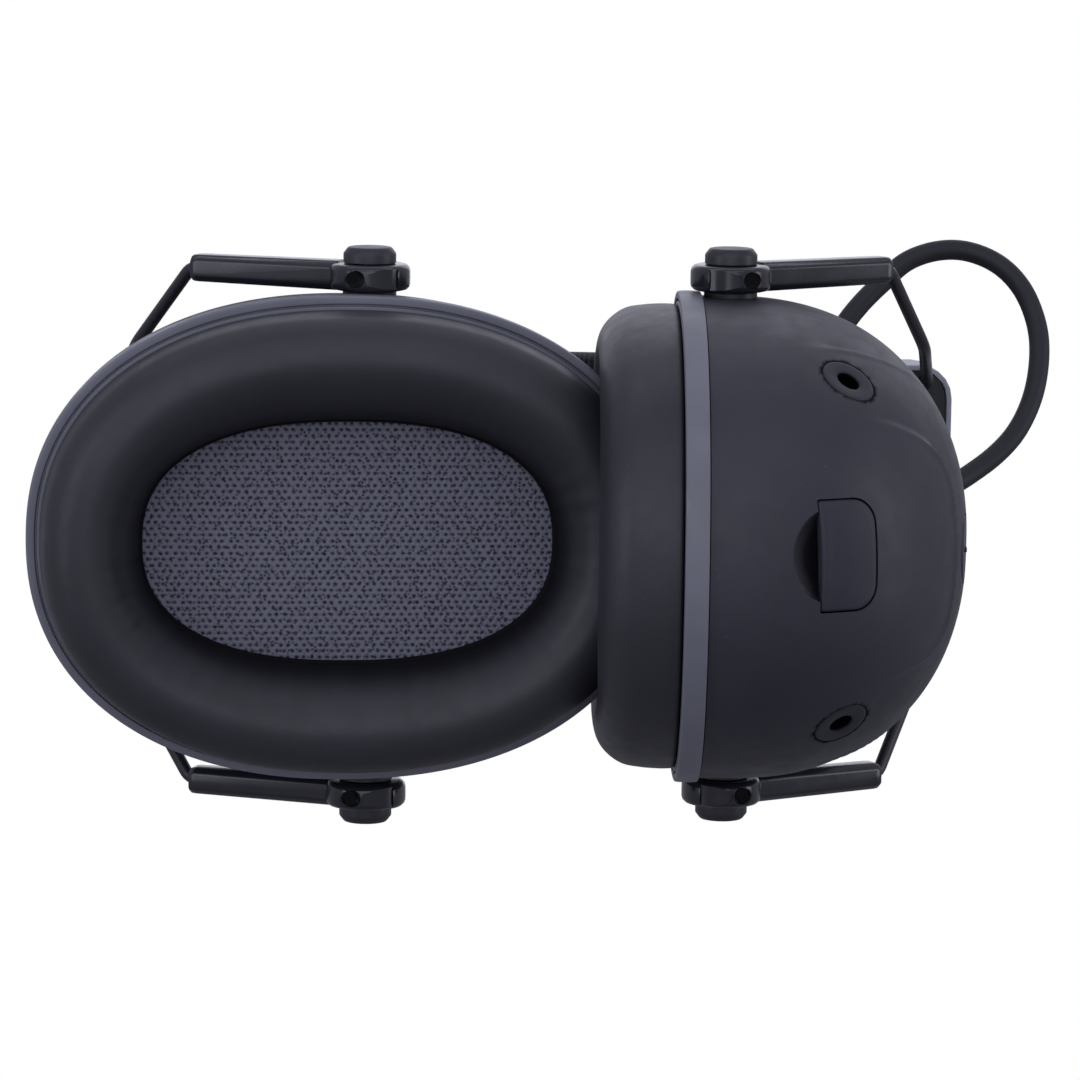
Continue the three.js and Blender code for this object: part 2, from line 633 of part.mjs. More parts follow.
for (const { side, sign, tilt } of SIDES) {
  const cup = new THREE.Group();
  cup.position.x = sign * PIVOT_X;
  cup.rotation.y = radians(tilt);
  root.add(cup);
  for (const port of PORTS) {
    const grommet = onCup(sign, turnedRing(GROMMET_PROFILE, 18), lowerDomePlace(port));
    add(cup, `${side}_${port.name}_port_grommet`, grommet, 'rubber');
  }
  const gland = onCup(sign, turnedRing(GLAND_PROFILE, 12), CABLE_EXIT);
  add(cup, `${side}_cable_gland`, gland, 'rubber');
  add(cup, `${side}_cup_shell`, cupShell(sign), 'shell');
  add(cup, `${side}_trim_ring`, trimRing(sign), 'trim');
  add(cup, `${side}_cushion_carrier`, cushionCarrier(sign), 'black');
  add(cup, `${side}_ear_cushion`, earCushion(sign), 'cushion');
  add(cup, `${side}_mesh_cloth`, meshCloth(sign), 'fabric');
  add(cup, `${side}_foam_insert`, foamInsert(sign), 'foam');
  add(cup, `${side}_baffle_plate`, bafflePlate(sign), 'black');
  add(cup, `${side}_speaker`, speaker(sign), 'steel');
  for (const { end, endSign } of ENDS) {
    add(cup, `${side}_${end}_pivot_pin`, pivotPin(end, endSign), 'black');
  }
  if (sign > 0) addRightCupParts(cup);
  else addLeftCupParts(cup);
}

// ---------------------------------------------------------------- cables
const CABLE_RADIUS = 1.9;
// Free runs from cup gland to cable guide: [x, y, z]
const RIGHT_RUN = [
  [76.2, -3.8, 28.4], [80.9, -6.2, 32], [86.4, -9.5, 35], [91.0, -13.6, 38], [94.8, -19.9, 42],
  [96.6, -27.1, 46], [96.5, -32.6, 49], [94.1, -39.0, 52], [89.9, -43.3, 54], [83.9, -45.6, 56],
  [78.2, -45.5, 56], [72.4, -43.5, 55], [68.5, -40.2, 54], [64.0, -36.3, 52], [60.0, -31.6, 50],
  [58.0, -26.6, 48.8], [60.2, -22.2, 49.6], [64.4, -19.9, 52.8],
];
const LEFT_RUN = [
  [-5.0, -3.2, 43], [-7.5, -8, 49], [-14, -15.5, 53.5], [-24, -23.5, 56], [-34, -28.5, 55.5],
  [-43, -31, 53], [-50, -30.2, 50.2], [-54, -26.6, 48.8], [-55.6, -22.4, 49.8],
  [-58.4, -20.0, 52.8],
];

function cable({ sign, tilt }, run) {
  // a point on the gland's axis, carried from the tilted cup to the layout frame
  const glandPoint = (distance) =>
    mirrored(sign, offset(CABLE_EXIT.point, CABLE_EXIT.normal, distance))
      .applyAxisAngle(vec(0, 1, 0), radians(tilt))
      .add(vec(sign * PIVOT_X, 0, 0));
  const guidePoint = (x, z) => vec(tailX(sign, x), GUIDE.y, z);
  const start = glandPoint(-2.5);
  const glandEnd = glandPoint(5.5);
  const points = [
    start, glandEnd, ...run.map((point) => vec(...point)),
    guidePoint(GUIDE.x - 0.2, 57.4), guidePoint(GUIDE.x, 60.6), guidePoint(GUIDE.x, 69),
  ];
  // the cable stays straight through the gland and follows the curve once clear of it
  const clear = start.distanceTo(glandEnd) + 2;
  const curve = new THREE.CatmullRomCurve3(points, false, 'centripetal');
  const free = curve.getSpacedPoints(34).filter((point) => point.distanceTo(start) > clear);
  return tube([start, glandEnd, ...free], CABLE_RADIUS, 6);
}

add(root, 'right_cable', cable(RIGHT, RIGHT_RUN), 'cable');
add(root, 'left_cable', cable(LEFT, LEFT_RUN), 'cable');

export default root;
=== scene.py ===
"""Earmuff hearing protector: detailed shapes, materials and scene built around the CAD frame.

CAD frame, metres: x runs from the left cup (-) to the right cup (+), y forward, z up, with z = 0
at the underside of the crown pad. The right cup hangs almost upright. The left cup is swung a
quarter turn, so its dome faces up and its top points to the right cup.
Shapes are worked out in mm, in one of two frames:
  cup frame (u, v, w): origin on the cup's pivot line, u out of the dome, v forward, w up the cup
  band frame (x, y, z): the CAD axes, with z measured from the pivot line
A "shape" is a pair (vertices, faces).
"""

import json
import math

import bpy
import numpy as np
from mathutils import Matrix, Vector

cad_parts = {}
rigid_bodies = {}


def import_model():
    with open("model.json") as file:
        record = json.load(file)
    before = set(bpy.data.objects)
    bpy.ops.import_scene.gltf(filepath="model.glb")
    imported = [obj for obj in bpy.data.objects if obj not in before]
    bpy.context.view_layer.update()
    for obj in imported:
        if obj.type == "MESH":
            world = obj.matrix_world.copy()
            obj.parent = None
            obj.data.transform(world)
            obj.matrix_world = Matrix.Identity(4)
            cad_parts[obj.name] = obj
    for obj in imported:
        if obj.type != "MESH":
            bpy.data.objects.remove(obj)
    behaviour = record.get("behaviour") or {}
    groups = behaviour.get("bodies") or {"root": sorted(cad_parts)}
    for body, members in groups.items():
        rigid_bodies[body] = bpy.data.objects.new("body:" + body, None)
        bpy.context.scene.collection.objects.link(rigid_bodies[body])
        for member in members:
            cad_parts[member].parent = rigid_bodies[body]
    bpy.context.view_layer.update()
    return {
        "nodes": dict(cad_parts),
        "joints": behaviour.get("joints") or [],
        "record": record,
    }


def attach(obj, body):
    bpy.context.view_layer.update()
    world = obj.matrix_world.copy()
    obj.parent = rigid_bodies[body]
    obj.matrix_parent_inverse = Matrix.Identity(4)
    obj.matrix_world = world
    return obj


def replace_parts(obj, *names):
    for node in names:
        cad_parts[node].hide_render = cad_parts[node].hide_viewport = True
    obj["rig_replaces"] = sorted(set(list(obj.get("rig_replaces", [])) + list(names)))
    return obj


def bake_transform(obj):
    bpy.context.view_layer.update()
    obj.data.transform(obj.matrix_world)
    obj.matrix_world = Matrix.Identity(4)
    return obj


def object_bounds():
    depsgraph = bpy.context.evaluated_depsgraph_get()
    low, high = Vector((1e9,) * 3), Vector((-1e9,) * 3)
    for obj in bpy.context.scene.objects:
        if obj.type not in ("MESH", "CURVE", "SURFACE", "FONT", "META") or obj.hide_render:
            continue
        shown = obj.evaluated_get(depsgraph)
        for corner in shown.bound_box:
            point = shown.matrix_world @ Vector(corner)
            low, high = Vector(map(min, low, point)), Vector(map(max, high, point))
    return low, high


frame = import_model()
MM = 0.001
SIGN = {"left": -1, "right": 1}            # side of the head along x
ENDS = (("front", 1), ("rear", -1))        # direction along y
JOINTS = {joint["name"]: joint for joint in frame["joints"]}
PIVOT = {side: np.array(JOINTS[side + "_cup_tilt"]["pos_m"], float) for side in SIGN}
CROWN = -PIVOT["right"][2] / MM            # height of the crown pad over the pivots, mm
TILT = math.radians(5.5)                   # right cup at rest

# Cup: a superellipse outline in v and w, domed along u
CUP_HALF_W, CUP_HALF_V = 54.9, 41.8
CUP_MID_W, CUP_MID_V = -4.15, -0.7
CUP_POWER = 2.22
DOME_RISE, DOME_POWER = 41.8, 2.25
SHELL_WALL, RIM_U = 2.4, -4.9

# Yoke: an arm from each pivot pin, then a wire that bends up into the band
PIVOT_X = 31.8
ARM_LENGTH, ARM_SLOPE = 33.1, math.radians(24.9)
ARM_Y, ARM_END_Y = 45.8, 46.0
WIRE_BEND = (72.0, 30.2, 30.0)
LEG_X, LEG_Y, LEG_FOOT_Z, LEG_TOP_Z = 77.6, 20.3, 57.4, 68.0
WIRE_RADIUS = 1.15

# Headband: superelliptic arches on straight tails
ARCH_FOOT_Z, TAIL_END_Z = 92.3, 61.5
ARCH_POWER, ARCH_SEGMENTS = 2.08, 21
LEFT_INSET = 6.0                           # the band's left end sits this much further in
SPRING_OVER_PAD = 5.5
SPRING_RISE = CROWN + SPRING_OVER_PAD - ARCH_FOOT_Z
GUIDE_X, GUIDE_Y = 67.3, -19.5             # where each cable enters the band
CABLE_RADIUS = 1.9


# ------------------------------------------------------------------ frames
def place(side, points):
    """Cup frame, mm, to the CAD frame, metres."""
    points = np.asarray(points, float)
    u, v, w = points[..., 0], points[..., 1], points[..., 2]
    origin = PIVOT[side]
    if side == "right":
        cos, sin = math.cos(TILT), math.sin(TILT)
        x, z = u * cos + w * sin, -u * sin + w * cos
    else:
        x, z = w, u
    return np.stack([origin[0] + x * MM, origin[1] + v * MM, origin[2] + z * MM], -1)


def unplace(side, points):
    """CAD frame, metres, back to the cup frame, mm."""
    offset = (np.asarray(points, float) - PIVOT[side]) / MM
    x, y, z = offset[..., 0], offset[..., 1], offset[..., 2]
    if side == "right":
        cos, sin = math.cos(TILT), math.sin(TILT)
        return np.stack([x * cos - z * sin, y, x * sin + z * cos], -1)
    return np.stack([z, y, x], -1)


def place_band(points):
    """Band frame, mm, to the CAD frame, metres."""
    return (np.asarray(points, float) + np.array([0, 0, -CROWN])) * MM


def cup_to_band(side, point):
    return place(side, point) / MM + np.array([0, 0, CROWN])


def in_cup(side, shape):
    return place(side, shape[0]), shape[1]


def in_band(shape):
    return place_band(shape[0]), shape[1]


def band_x(sign, x):
    return x if sign > 0 else -(x - LEFT_INSET)


# ------------------------------------------------------------------ curves and shapes
def unit(vector):
    vector = np.asarray(vector, float)
    return vector / np.linalg.norm(vector)


def smooth01(x):
    x = np.clip(x, 0, 1)
    return x * x * (3 - 2 * x)


def basis(direction):
    """Two unit vectors across a direction, and the direction itself."""
    axis = unit(direction)
    reference = np.array([0, 0, 1.0]) if abs(axis[2]) < 0.9 else np.array([1.0, 0, 0])
    first = unit(reference - axis * (reference @ axis))
    return first, np.cross(axis, first), axis


def circle(count, first, second):
    """Unit circle in the plane of two vectors."""
    angle = np.linspace(0, 2 * np.pi, count, endpoint=False)
    return np.cos(angle)[:, None] * first + np.sin(angle)[:, None] * second


def cap_ends(verts, faces, centres):
    """Close both ends of a loft with a fan about each of the two centres."""
    count = faces[0][3]                    # the first quad reaches up one ring
    last = len(verts) - count
    for start, centre in zip((0, last), centres):
        hub = len(verts)
        verts = np.vstack([verts, centre])
        for i in range(count):
            here, after = start + i, start + (i + 1) % count
            faces.append([hub, here, after] if start else [hub, after, here])
    return verts, faces


def loft(rings, wrap=False, caps=True):
    """Shape through rings of equal length; wrap joins the last ring to the first."""
    count, rows = len(rings[0]), len(rings)
    verts = np.concatenate([np.asarray(ring, float) for ring in rings])
    i = np.arange(rows if wrap else rows - 1)[:, None]
    k = np.arange(count)[None, :]
    after, above = (k + 1) % count, (i + 1) % rows * count
    corners = [i * count + k, i * count + after, above + after, above + k]
    faces = np.stack(corners, -1).reshape(-1, 4).tolist()
    if wrap or not caps:
        return verts, faces
    return cap_ends(verts, faces, (verts[:count].mean(0), verts[-count:].mean(0)))


def turned(profile, origin, direction, count=48, ring=False):
    """Turned body: profile of (radius, distance along direction); closed on itself if ring."""
    first, second, axis = basis(direction)
    round_ = circle(count, first, second)
    origin = np.asarray(origin, float)
    rings = [origin + axis * t + round_ * radius for radius, t in profile if radius > 1e-6]
    if ring:
        return loft(rings, wrap=True)
    centres = [origin + axis * t for t in (profile[0][1], profile[-1][1])]
    return cap_ends(*loft(rings, caps=False), centres)


def rod(radius, start, end):
    """Profile of a plain cylinder."""
    return [(0, start), (radius, start), (radius, end), (0, end)]


def tube(points, radius):
    points = np.asarray(points, float)
    tangents = np.gradient(points, axis=0)
    tangents /= np.linalg.norm(tangents, axis=1)[:, None]
    up = np.array([0, 0, 1.0]) if abs(tangents[0][2]) < 0.9 else np.array([1.0, 0, 0])
    rings = []
    for point, tangent in zip(points, tangents):
        up = unit(up - tangent * (up @ tangent))
        rings.append(point + radius * circle(20, up, np.cross(tangent, up)))
    return loft(rings)


def fillet(points, radii, steps=3, closed=True):
    """Round a polyline's corners. radii is one number or one per corner."""
    points = [np.asarray(point, float) for point in points]
    count, out = len(points), []
    radii = list(radii) if hasattr(radii, "__len__") else [radii] * count
    for i, corner in enumerate(points):
        if not closed and i in (0, count - 1):
            out.append(corner)
            continue
        back, ahead = points[i - 1] - corner, points[(i + 1) % count] - corner
        back_len, ahead_len = np.linalg.norm(back), np.linalg.norm(ahead)
        reach = min(radii[i], back_len * 0.48, ahead_len * 0.48)
        if reach < 1e-4:
            out.append(corner)
            continue
        start, end = corner + back / back_len * reach, corner + ahead / ahead_len * reach
        for k in range(steps + 1):
            t = k / steps
            out.append(start * (1 - t) ** 2 + corner * 2 * t * (1 - t) + end * t * t)
    return np.array(out)


def resample(path, step):
    path = np.asarray(path, float)
    length = np.concatenate([[0], np.cumsum(np.linalg.norm(np.diff(path, axis=0), axis=1))])
    count = max(2, int(round(length[-1] / step)) + 1)
    wanted = np.linspace(0, length[-1], count)
    return np.stack([np.interp(wanted, length, path[:, k]) for k in range(3)], -1)


def between(t, start, end, a, b):
    return (end - t) / (end - start) * a + (t - start) / (end - start) * b


def catmull(points, per, closed=False):
    """Centripetal Catmull-Rom through the points, per steps to a span."""
    points = [np.asarray(point, float) for point in points]
    if closed:
        ext = [points[-1], *points, points[0], points[1]]
    else:
        ext = [2 * points[0] - points[1], *points, 2 * points[-1] - points[-2]]
    out = []
    for p0, p1, p2, p3 in zip(ext, ext[1:], ext[2:], ext[3:]):
        t0 = 0.0
        t1 = t0 + max(np.linalg.norm(p1 - p0), 1e-9) ** 0.5
        t2 = t1 + max(np.linalg.norm(p2 - p1), 1e-9) ** 0.5
        t3 = t2 + max(np.linalg.norm(p3 - p2), 1e-9) ** 0.5
        for t in np.linspace(t1, t2, per, endpoint=False):
            a1 = between(t, t0, t1, p0, p1)
            a2 = between(t, t1, t2, p1, p2)
            a3 = between(t, t2, t3, p2, p3)
            b1 = between(t, t0, t2, a1, a2)
            b2 = between(t, t1, t3, a2, a3)
            out.append(between(t, t1, t2, b1, b2))
    if not closed:
        out.append(points[-1])
    return np.array(out)


# ------------------------------------------------------------------ Blender objects
LOOKS = {}                                 # materials by name


def coords(mesh):
    flat = np.zeros(len(mesh.vertices) * 3)
    mesh.vertices.foreach_get("co", flat)
    return flat.reshape(-1, 3)


def volume(mesh):
    """Signed volume: negative where the faces point inwards."""
    mesh.calc_loop_triangles()
    corners = np.zeros(len(mesh.loop_triangles) * 3, np.int32)
    mesh.loop_triangles.foreach_get("vertices", corners)
    tri = coords(mesh)[corners.reshape(-1, 3)]
    return float(np.einsum("ij,ij->i", tri[:, 0], np.cross(tri[:, 1], tri[:, 2])).sum() / 6)


def shade_mesh(ob, angle):
    """Smooth shading, with edges sharper than the angle (degrees) kept crisp."""
    ob.data.shade_smooth()
    ob.data.set_sharp_from_angle(angle=math.radians(angle))


def make(name, shape, look=None, angle=35.0):
    verts, faces = shape
    mesh = bpy.data.meshes.new(name)
    mesh.from_pydata([tuple(vert) for vert in np.asarray(verts, float)], [], faces)
    mesh.update()
    ob = bpy.data.objects.new(name, mesh)
    bpy.context.scene.collection.objects.link(ob)
    if volume(mesh) < 0:
        mesh.flip_normals()
    if look:
        mesh.materials.append(LOOKS[look])
    shade_mesh(ob, angle)
    return ob


def cutter(shape):
    return make("cutter", shape)


def boolean(ob, operation, *cutters):
    """Apply the cutters in turn and delete them; all faces take the piece's own material."""
    materials = list(ob.data.materials)
    for tool in cutters:
        for solver in ("MANIFOLD", "EXACT"):         # EXACT only if MANIFOLD gives no faces
            modifier = ob.modifiers.new("b", "BOOLEAN")
            modifier.operation, modifier.solver, modifier.object = operation, solver, tool
            graph = bpy.context.evaluated_depsgraph_get()
            mesh = bpy.data.meshes.new_from_object(ob.evaluated_get(graph), depsgraph=graph)
            ob.modifiers.clear()
            if len(mesh.polygons):
                break
        old = ob.data
        ob.data = mesh
        bpy.data.meshes.remove(old)
    mesh.materials.clear()
    for material in materials:
        mesh.materials.append(material)
    mesh.polygons.foreach_set("material_index", [0] * len(mesh.polygons))
    for tool in cutters:
        old = tool.data
        bpy.data.objects.remove(tool)
        bpy.data.meshes.remove(old)


def combine(ob, operation, shapes, angle):
    boolean(ob, operation, *[cutter(shape) for shape in shapes])
    shade_mesh(ob, angle)


def mark(ob, name, values):
    """Per-vertex value that the materials read."""
    layer = ob.data.attributes.new(name, "FLOAT", "POINT")
    layer.data.foreach_set("value", values.astype(np.float32))


def show(ob, body, slot, *nodes):
    """Attach a piece to its moving body, in place of the CAD nodes."""
    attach(ob, body)
    if nodes:
        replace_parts(ob, *nodes)


# ------------------------------------------------------------------ material tools
def add_node(tree, kind, inputs={}, **settings):
    """Add a shader node; each input takes a value or a socket to link from."""
    node = tree.nodes.new("ShaderNode" + kind)
    for key, value in settings.items():
        setattr(node, key, value)
    for key, value in inputs.items():
        feed(tree, node.inputs[key], value)
    return node


def feed(tree, socket, value):
    if isinstance(value, bpy.types.NodeSocket):
        tree.links.new(value, socket)
    else:
        socket.default_value = (*value, 1) if socket.type == "RGBA" else value


def find_node(tree, kind):
    return next(node for node in tree.nodes if node.type == kind)


INPUTS = dict(color="Base Color", rough="Roughness", metal="Metallic",
              spec="Specular IOR Level", coat="Coat Weight", coat_rough="Coat Roughness",
              sheen="Sheen Weight", sheen_rough="Sheen Roughness", normal="Normal")
CORE, WIDE = (0.35, 0.65), (0.3, 0.7)      # stretches of the noise range


def scaled(color, factor):
    return tuple(x * factor for x in color)


class Graph:
    """A material under construction. Texture space is in millimetres."""

    def __init__(self, name):
        self.mat = LOOKS[name] = bpy.data.materials.new(name)
        self.mat.use_nodes = True
        self.tree = self.mat.node_tree
        place_ = self.add("TexCoord").outputs["Object"]
        self.mm = self.mapped(place_, (1 / MM,) * 3)

    def add(self, kind, inputs={}, **settings):
        return add_node(self.tree, kind, inputs, **settings)

    def mapped(self, vector, scale):
        return self.add("Mapping", {"Vector": vector, "Scale": scale}).outputs["Vector"]

    def space(self, stretch):
        return self.mapped(self.mm, stretch) if stretch else self.mm

    def noise(self, scale, detail=3.0, rough=0.55, stretch=None):
        inputs = {"Scale": scale, "Detail": detail, "Roughness": rough,
                  "Vector": self.space(stretch)}
        return self.add("TexNoise", inputs).outputs["Fac"]

    def voronoi(self, scale, feature="F1", randomness=1.0, stretch=None):
        inputs = {"Scale": scale, "Randomness": randomness, "Vector": self.space(stretch)}
        return self.add("TexVoronoi", inputs, feature=feature).outputs["Distance"]

    def remap(self, value, span, to=(0.0, 1.0), mode="LINEAR"):
        inputs = {"From Min": span[0], "From Max": span[1],
                  "To Min": to[0], "To Max": to[1], "Value": value}
        return self.add("MapRange", inputs, interpolation_type=mode).outputs["Result"]

    def times(self, a, b):
        return self.add("Math", {0: a, 1: b}, operation="MULTIPLY").outputs["Value"]

    def plus(self, a, b):
        return self.add("Math", {0: a, 1: b}, operation="ADD").outputs["Value"]

    def mix(self, factor, a, b):
        return self.add("Mix", {0: factor, 6: a, 7: b}, data_type="RGBA").outputs[2]

    def bump(self, height, mm, strength, normal=None):
        inputs = {"Distance": mm * MM, "Strength": strength, "Height": height}
        if normal is not None:
            inputs["Normal"] = normal
        return self.add("Bump", inputs).outputs["Normal"]

    def attribute(self, name):
        return self.add("Attribute", attribute_name=name).outputs["Fac"]

    def drift(self, base, scale, dark, light):
        """Slow drift of the base colour."""
        fac = self.remap(self.noise(scale), CORE)
        return self.mix(fac, scaled(base, dark), scaled(base, light))

    def specks(self, color, scale, size, patch_scale, patch_span, amount, grey):
        """Dust specks, gathered in patches."""
        dots = self.remap(self.voronoi(scale), (0.0, size), to=(1.0, 0.0))
        patches = self.remap(self.noise(patch_scale, detail=2), patch_span)
        return self.mix(self.times(self.times(dots, patches), amount), color, grey)

    def shaded(self, color, dark, spec, dark_spec):
        """Darker and duller where the mesh's shade value is high."""
        return (self.mix(self.attribute("shade"), color, dark),
                self.remap(self.attribute("shade"), (0.0, 1.0), to=(spec, dark_spec)))

    def set(self, **values):
        bsdf = find_node(self.tree, "BSDF_PRINCIPLED")
        for key, value in values.items():
            feed(self.tree, bsdf.inputs[INPUTS[key]], value)


def plastic(name, base, rough, grain=6.0, grain_mm=0.012, vary=0.10, dust=0.2, coat=0.0,
            scratch=0.0, edge=0.12, shade=False):
    """Moulded plastic: fine mould grain, slow colour drift, dust specks, lighter edges."""
    g = Graph(name)
    color = g.drift(base, scale=0.05, dark=1 - vary, light=1 + vary)
    fine = g.noise(grain, detail=2, rough=0.5)
    color = g.mix(g.remap(fine, WIDE, to=(0.0, 0.35)), color, scaled(base, 0.80))
    # lighter on convex edges, where the mesh's pointiness is high
    convex_edge = g.remap(g.add("NewGeometry").outputs["Pointiness"], (0.52, 0.62))
    color = g.mix(g.times(convex_edge, edge), color, scaled(base, 2.2))
    if dust:
        color = g.specks(color, scale=0.62, size=0.13, patch_scale=0.35,
                         patch_span=(0.56, 0.66), amount=dust * 0.5, grey=(0.30, 0.30, 0.32))
    spec = 0.5
    if shade:
        color, spec = g.shaded(color, dark=scaled(base, 0.10), spec=spec, dark_spec=0.06)
    slow = g.remap(g.noise(0.22, detail=4), WIDE, to=(rough - 0.05, rough + 0.06))
    normal = g.bump(fine, mm=grain_mm, strength=0.8)
    if scratch:
        lines = g.noise(3.2, detail=2, rough=0.6, stretch=(0.08, 1.0, 1.0))
        normal = g.bump(g.remap(lines, (0.60, 0.72)), mm=0.01, strength=scratch, normal=normal)
    g.set(color=color, rough=g.plus(slow, g.remap(fine, WIDE, to=(-0.03, 0.03))), spec=spec,
          coat=coat, coat_rough=0.08, normal=normal)


def skin(name, base, rough):
    """Polyurethane film over foam: faint leather grain, pores, and painted shade down the inner
    wall by the mesh and along the outer wall by the trim ring.
    """
    g = Graph(name)
    color = g.drift(base, scale=0.07, dark=0.93, light=1.08)
    creases = g.remap(g.voronoi(2.3, "DISTANCE_TO_EDGE"), (0.0, 0.10), to=(1.0, 0.0))
    color = g.mix(g.times(creases, 0.16), color, scaled(base, 0.5))
    color = g.specks(color, scale=0.5, size=0.10, patch_scale=0.3, patch_span=(0.58, 0.66),
                     amount=0.22, grey=(0.3, 0.3, 0.32))
    relief = g.plus(g.times(creases, -0.6), g.times(g.noise(9.0, detail=2), 0.5))
    # painted shade: darker and duller where the cushion's per-vertex value is high
    fold_shade = g.attribute("fold_shade")
    g.set(color=g.mix(fold_shade, color, scaled(base, 0.22)),
          rough=g.remap(g.noise(0.3), WIDE, to=(rough - 0.04, rough + 0.05)),
          spec=g.remap(fold_shade, (0.0, 1.0), to=(0.5, 0.12)),
          normal=g.bump(relief, mm=0.012, strength=0.7))


def rubber(name, base, rough, shade=False):
    g = Graph(name)
    color = g.drift(base, scale=0.12, dark=0.9, light=1.12)
    fine = g.noise(8.0)
    color = g.specks(color, scale=0.9, size=0.12, patch_scale=0.5, patch_span=(0.55, 0.63),
                     amount=0.35, grey=(0.28, 0.29, 0.31))
    spec = 0.42
    if shade:
        color, spec = g.shaded(color, dark=scaled(base, 0.06), spec=spec, dark_spec=0.03)
    g.set(color=color, rough=g.remap(fine, WIDE, to=(rough - 0.05, rough + 0.05)), spec=spec,
          normal=g.bump(fine, mm=0.014, strength=0.8))


def mesh_cloth(name, base, flat):
    """Finest weave and fibre contrast of the spacer mesh; its holes are pits in the mesh itself,
    coloured near black as painted shade.
    flat squeezes the texture along the axis across the cloth."""
    g = Graph(name)
    cells = g.voronoi(1.42, randomness=0.62, stretch=flat)
    weave = g.remap(cells, (0.16, 0.52), mode="SMOOTHSTEP")
    fibres = g.remap(g.noise(5.0, rough=0.7), (0.36, 0.66))
    light = g.plus(g.times(weave, 0.75), g.times(fibres, 0.32))
    color = g.mix(light, scaled(base, 0.03), scaled(base, 2.5))
    # painted shade: the pinholes are shallow pits, coloured near black where the hole value is
    # high
    g.set(color=g.mix(g.attribute("hole"), color, (0.003, 0.003, 0.005)), rough=0.85, spec=0.2,
          sheen=0.12, sheen_rough=0.5, normal=g.bump(weave, mm=0.10, strength=0.8))


def foam(name, base):
    g = Graph(name)
    cells = g.remap(g.voronoi(2.0), (0.05, 0.5))
    g.set(color=g.mix(cells, scaled(base, 0.25), scaled(base, 1.3)), rough=0.95, spec=0.15,
          normal=g.bump(cells, mm=0.25, strength=1.0))


def metal(name, base, rough):
    """Brushed metal, lines along x."""
    g = Graph(name)
    lines = g.noise(5.0, rough=0.6, stretch=(0.05, 1, 1))
    g.set(color=g.mix(g.remap(lines, WIDE), scaled(base, 0.8), scaled(base, 1.1)), metal=1.0,
          rough=g.remap(lines, WIDE, to=(rough - 0.06, rough + 0.08)),
          normal=g.bump(lines, mm=0.008, strength=0.6))


def coated_wire(name, base):
    """Black coated spring wire with small rubbed spots."""
    g = Graph(name)
    spots = g.remap(g.noise(1.5, detail=4, rough=0.7), (0.58, 0.70))
    g.set(color=g.mix(g.times(spots, 0.5), base, (0.12, 0.12, 0.14)),
          metal=g.times(spots, 0.4), rough=g.remap(g.noise(0.8), WIDE, to=(0.26, 0.42)),
          spec=0.5, normal=g.bump(g.noise(6.0, detail=2), mm=0.012, strength=0.6))


def board(name, bare=(0.05, 0.20, 0.09), dark=(0.02, 0.09, 0.04)):
    """Green circuit board with a network of tracks."""
    g = Graph(name)
    tracks = g.remap(g.voronoi(0.5, "DISTANCE_TO_EDGE"), (0.03, 0.06))
    g.set(color=g.mix(tracks, bare, dark), rough=0.35,
          normal=g.bump(tracks, mm=0.03, strength=0.4))


# ------------------------------------------------------------------ materials
plastic("shell_plastic", (0.0262, 0.0266, 0.0385), rough=0.50, grain_mm=0.014, dust=0.35,
        edge=0.15, shade=True)
plastic("trim_plastic", (0.165, 0.169, 0.206), rough=0.45)
skin("cushion_skin", (0.0245, 0.0250, 0.0325), rough=0.45)
rubber("pad_elastomer", (0.03, 0.031, 0.036), rough=0.6)
mesh_cloth("mesh_cloth_left", (0.078, 0.078, 0.100), flat=(1, 1, 0.04))
mesh_cloth("mesh_cloth_right", (0.078, 0.078, 0.100), flat=(0.04, 1, 1))
foam("foam", (0.02, 0.02, 0.022))
plastic("arm_plastic", (0.014, 0.0145, 0.021), rough=0.20, grain=2.5, grain_mm=0.003,
        vary=0.08, dust=0.25, coat=0.25, scratch=0.35, edge=0.2, shade=True)
coated_wire("yoke_wire", (0.020, 0.020, 0.026))
plastic("pin_plastic", (0.022, 0.022, 0.029), rough=0.42, grain=5.0, dust=0.4, edge=0.3)
plastic("frame_plastic", (0.020, 0.020, 0.026), rough=0.42, grain=5.0, dust=0.25, edge=0.25)
rubber("soft_rubber", (0.024, 0.0255, 0.037), rough=0.5)
rubber("port_rubber", (0.0205, 0.0215, 0.0315), rough=0.52, shade=True)
# lit copy of the trim plastic: painted light on the slider cover's thin border, which lies in
# shade
plastic("slider_cover_lit_plastic", (0.34, 0.35, 0.40), rough=0.40)
rubber("cable_jacket", (0.015, 0.015, 0.022), rough=0.55)
# near-black screen across each port: painted shade for the depth of the hole
foam("shaded_port_screen", (0.003, 0.003, 0.0045))
metal("spring_steel", (0.55, 0.55, 0.57), rough=0.3)
metal("bare_metal", (0.5, 0.5, 0.52), rough=0.33)
board("circuit_board")
plastic("battery_wrap", (0.28, 0.30, 0.33), rough=0.32, grain=2.0, grain_mm=0.02, dust=0.0,
        edge=0.1)
LOOKS["mesh_cloth"] = LOOKS["mesh_cloth_left"]


# ------------------------------------------------------------------ cup surface
def signed_power(x, power):
    return np.sign(x) * np.abs(x) ** power


def oval(half_w, half_v, u, count, power=CUP_POWER):
    """Superellipse ring about the cup's centre line."""
    t = 2 * np.pi * (np.arange(count) + 0.5) / count
    return np.stack([np.full(count, float(u)),
                     CUP_MID_V + half_v * signed_power(np.cos(t), 2 / power),
                     CUP_MID_W + half_w * signed_power(np.sin(t), 2 / power)], -1)


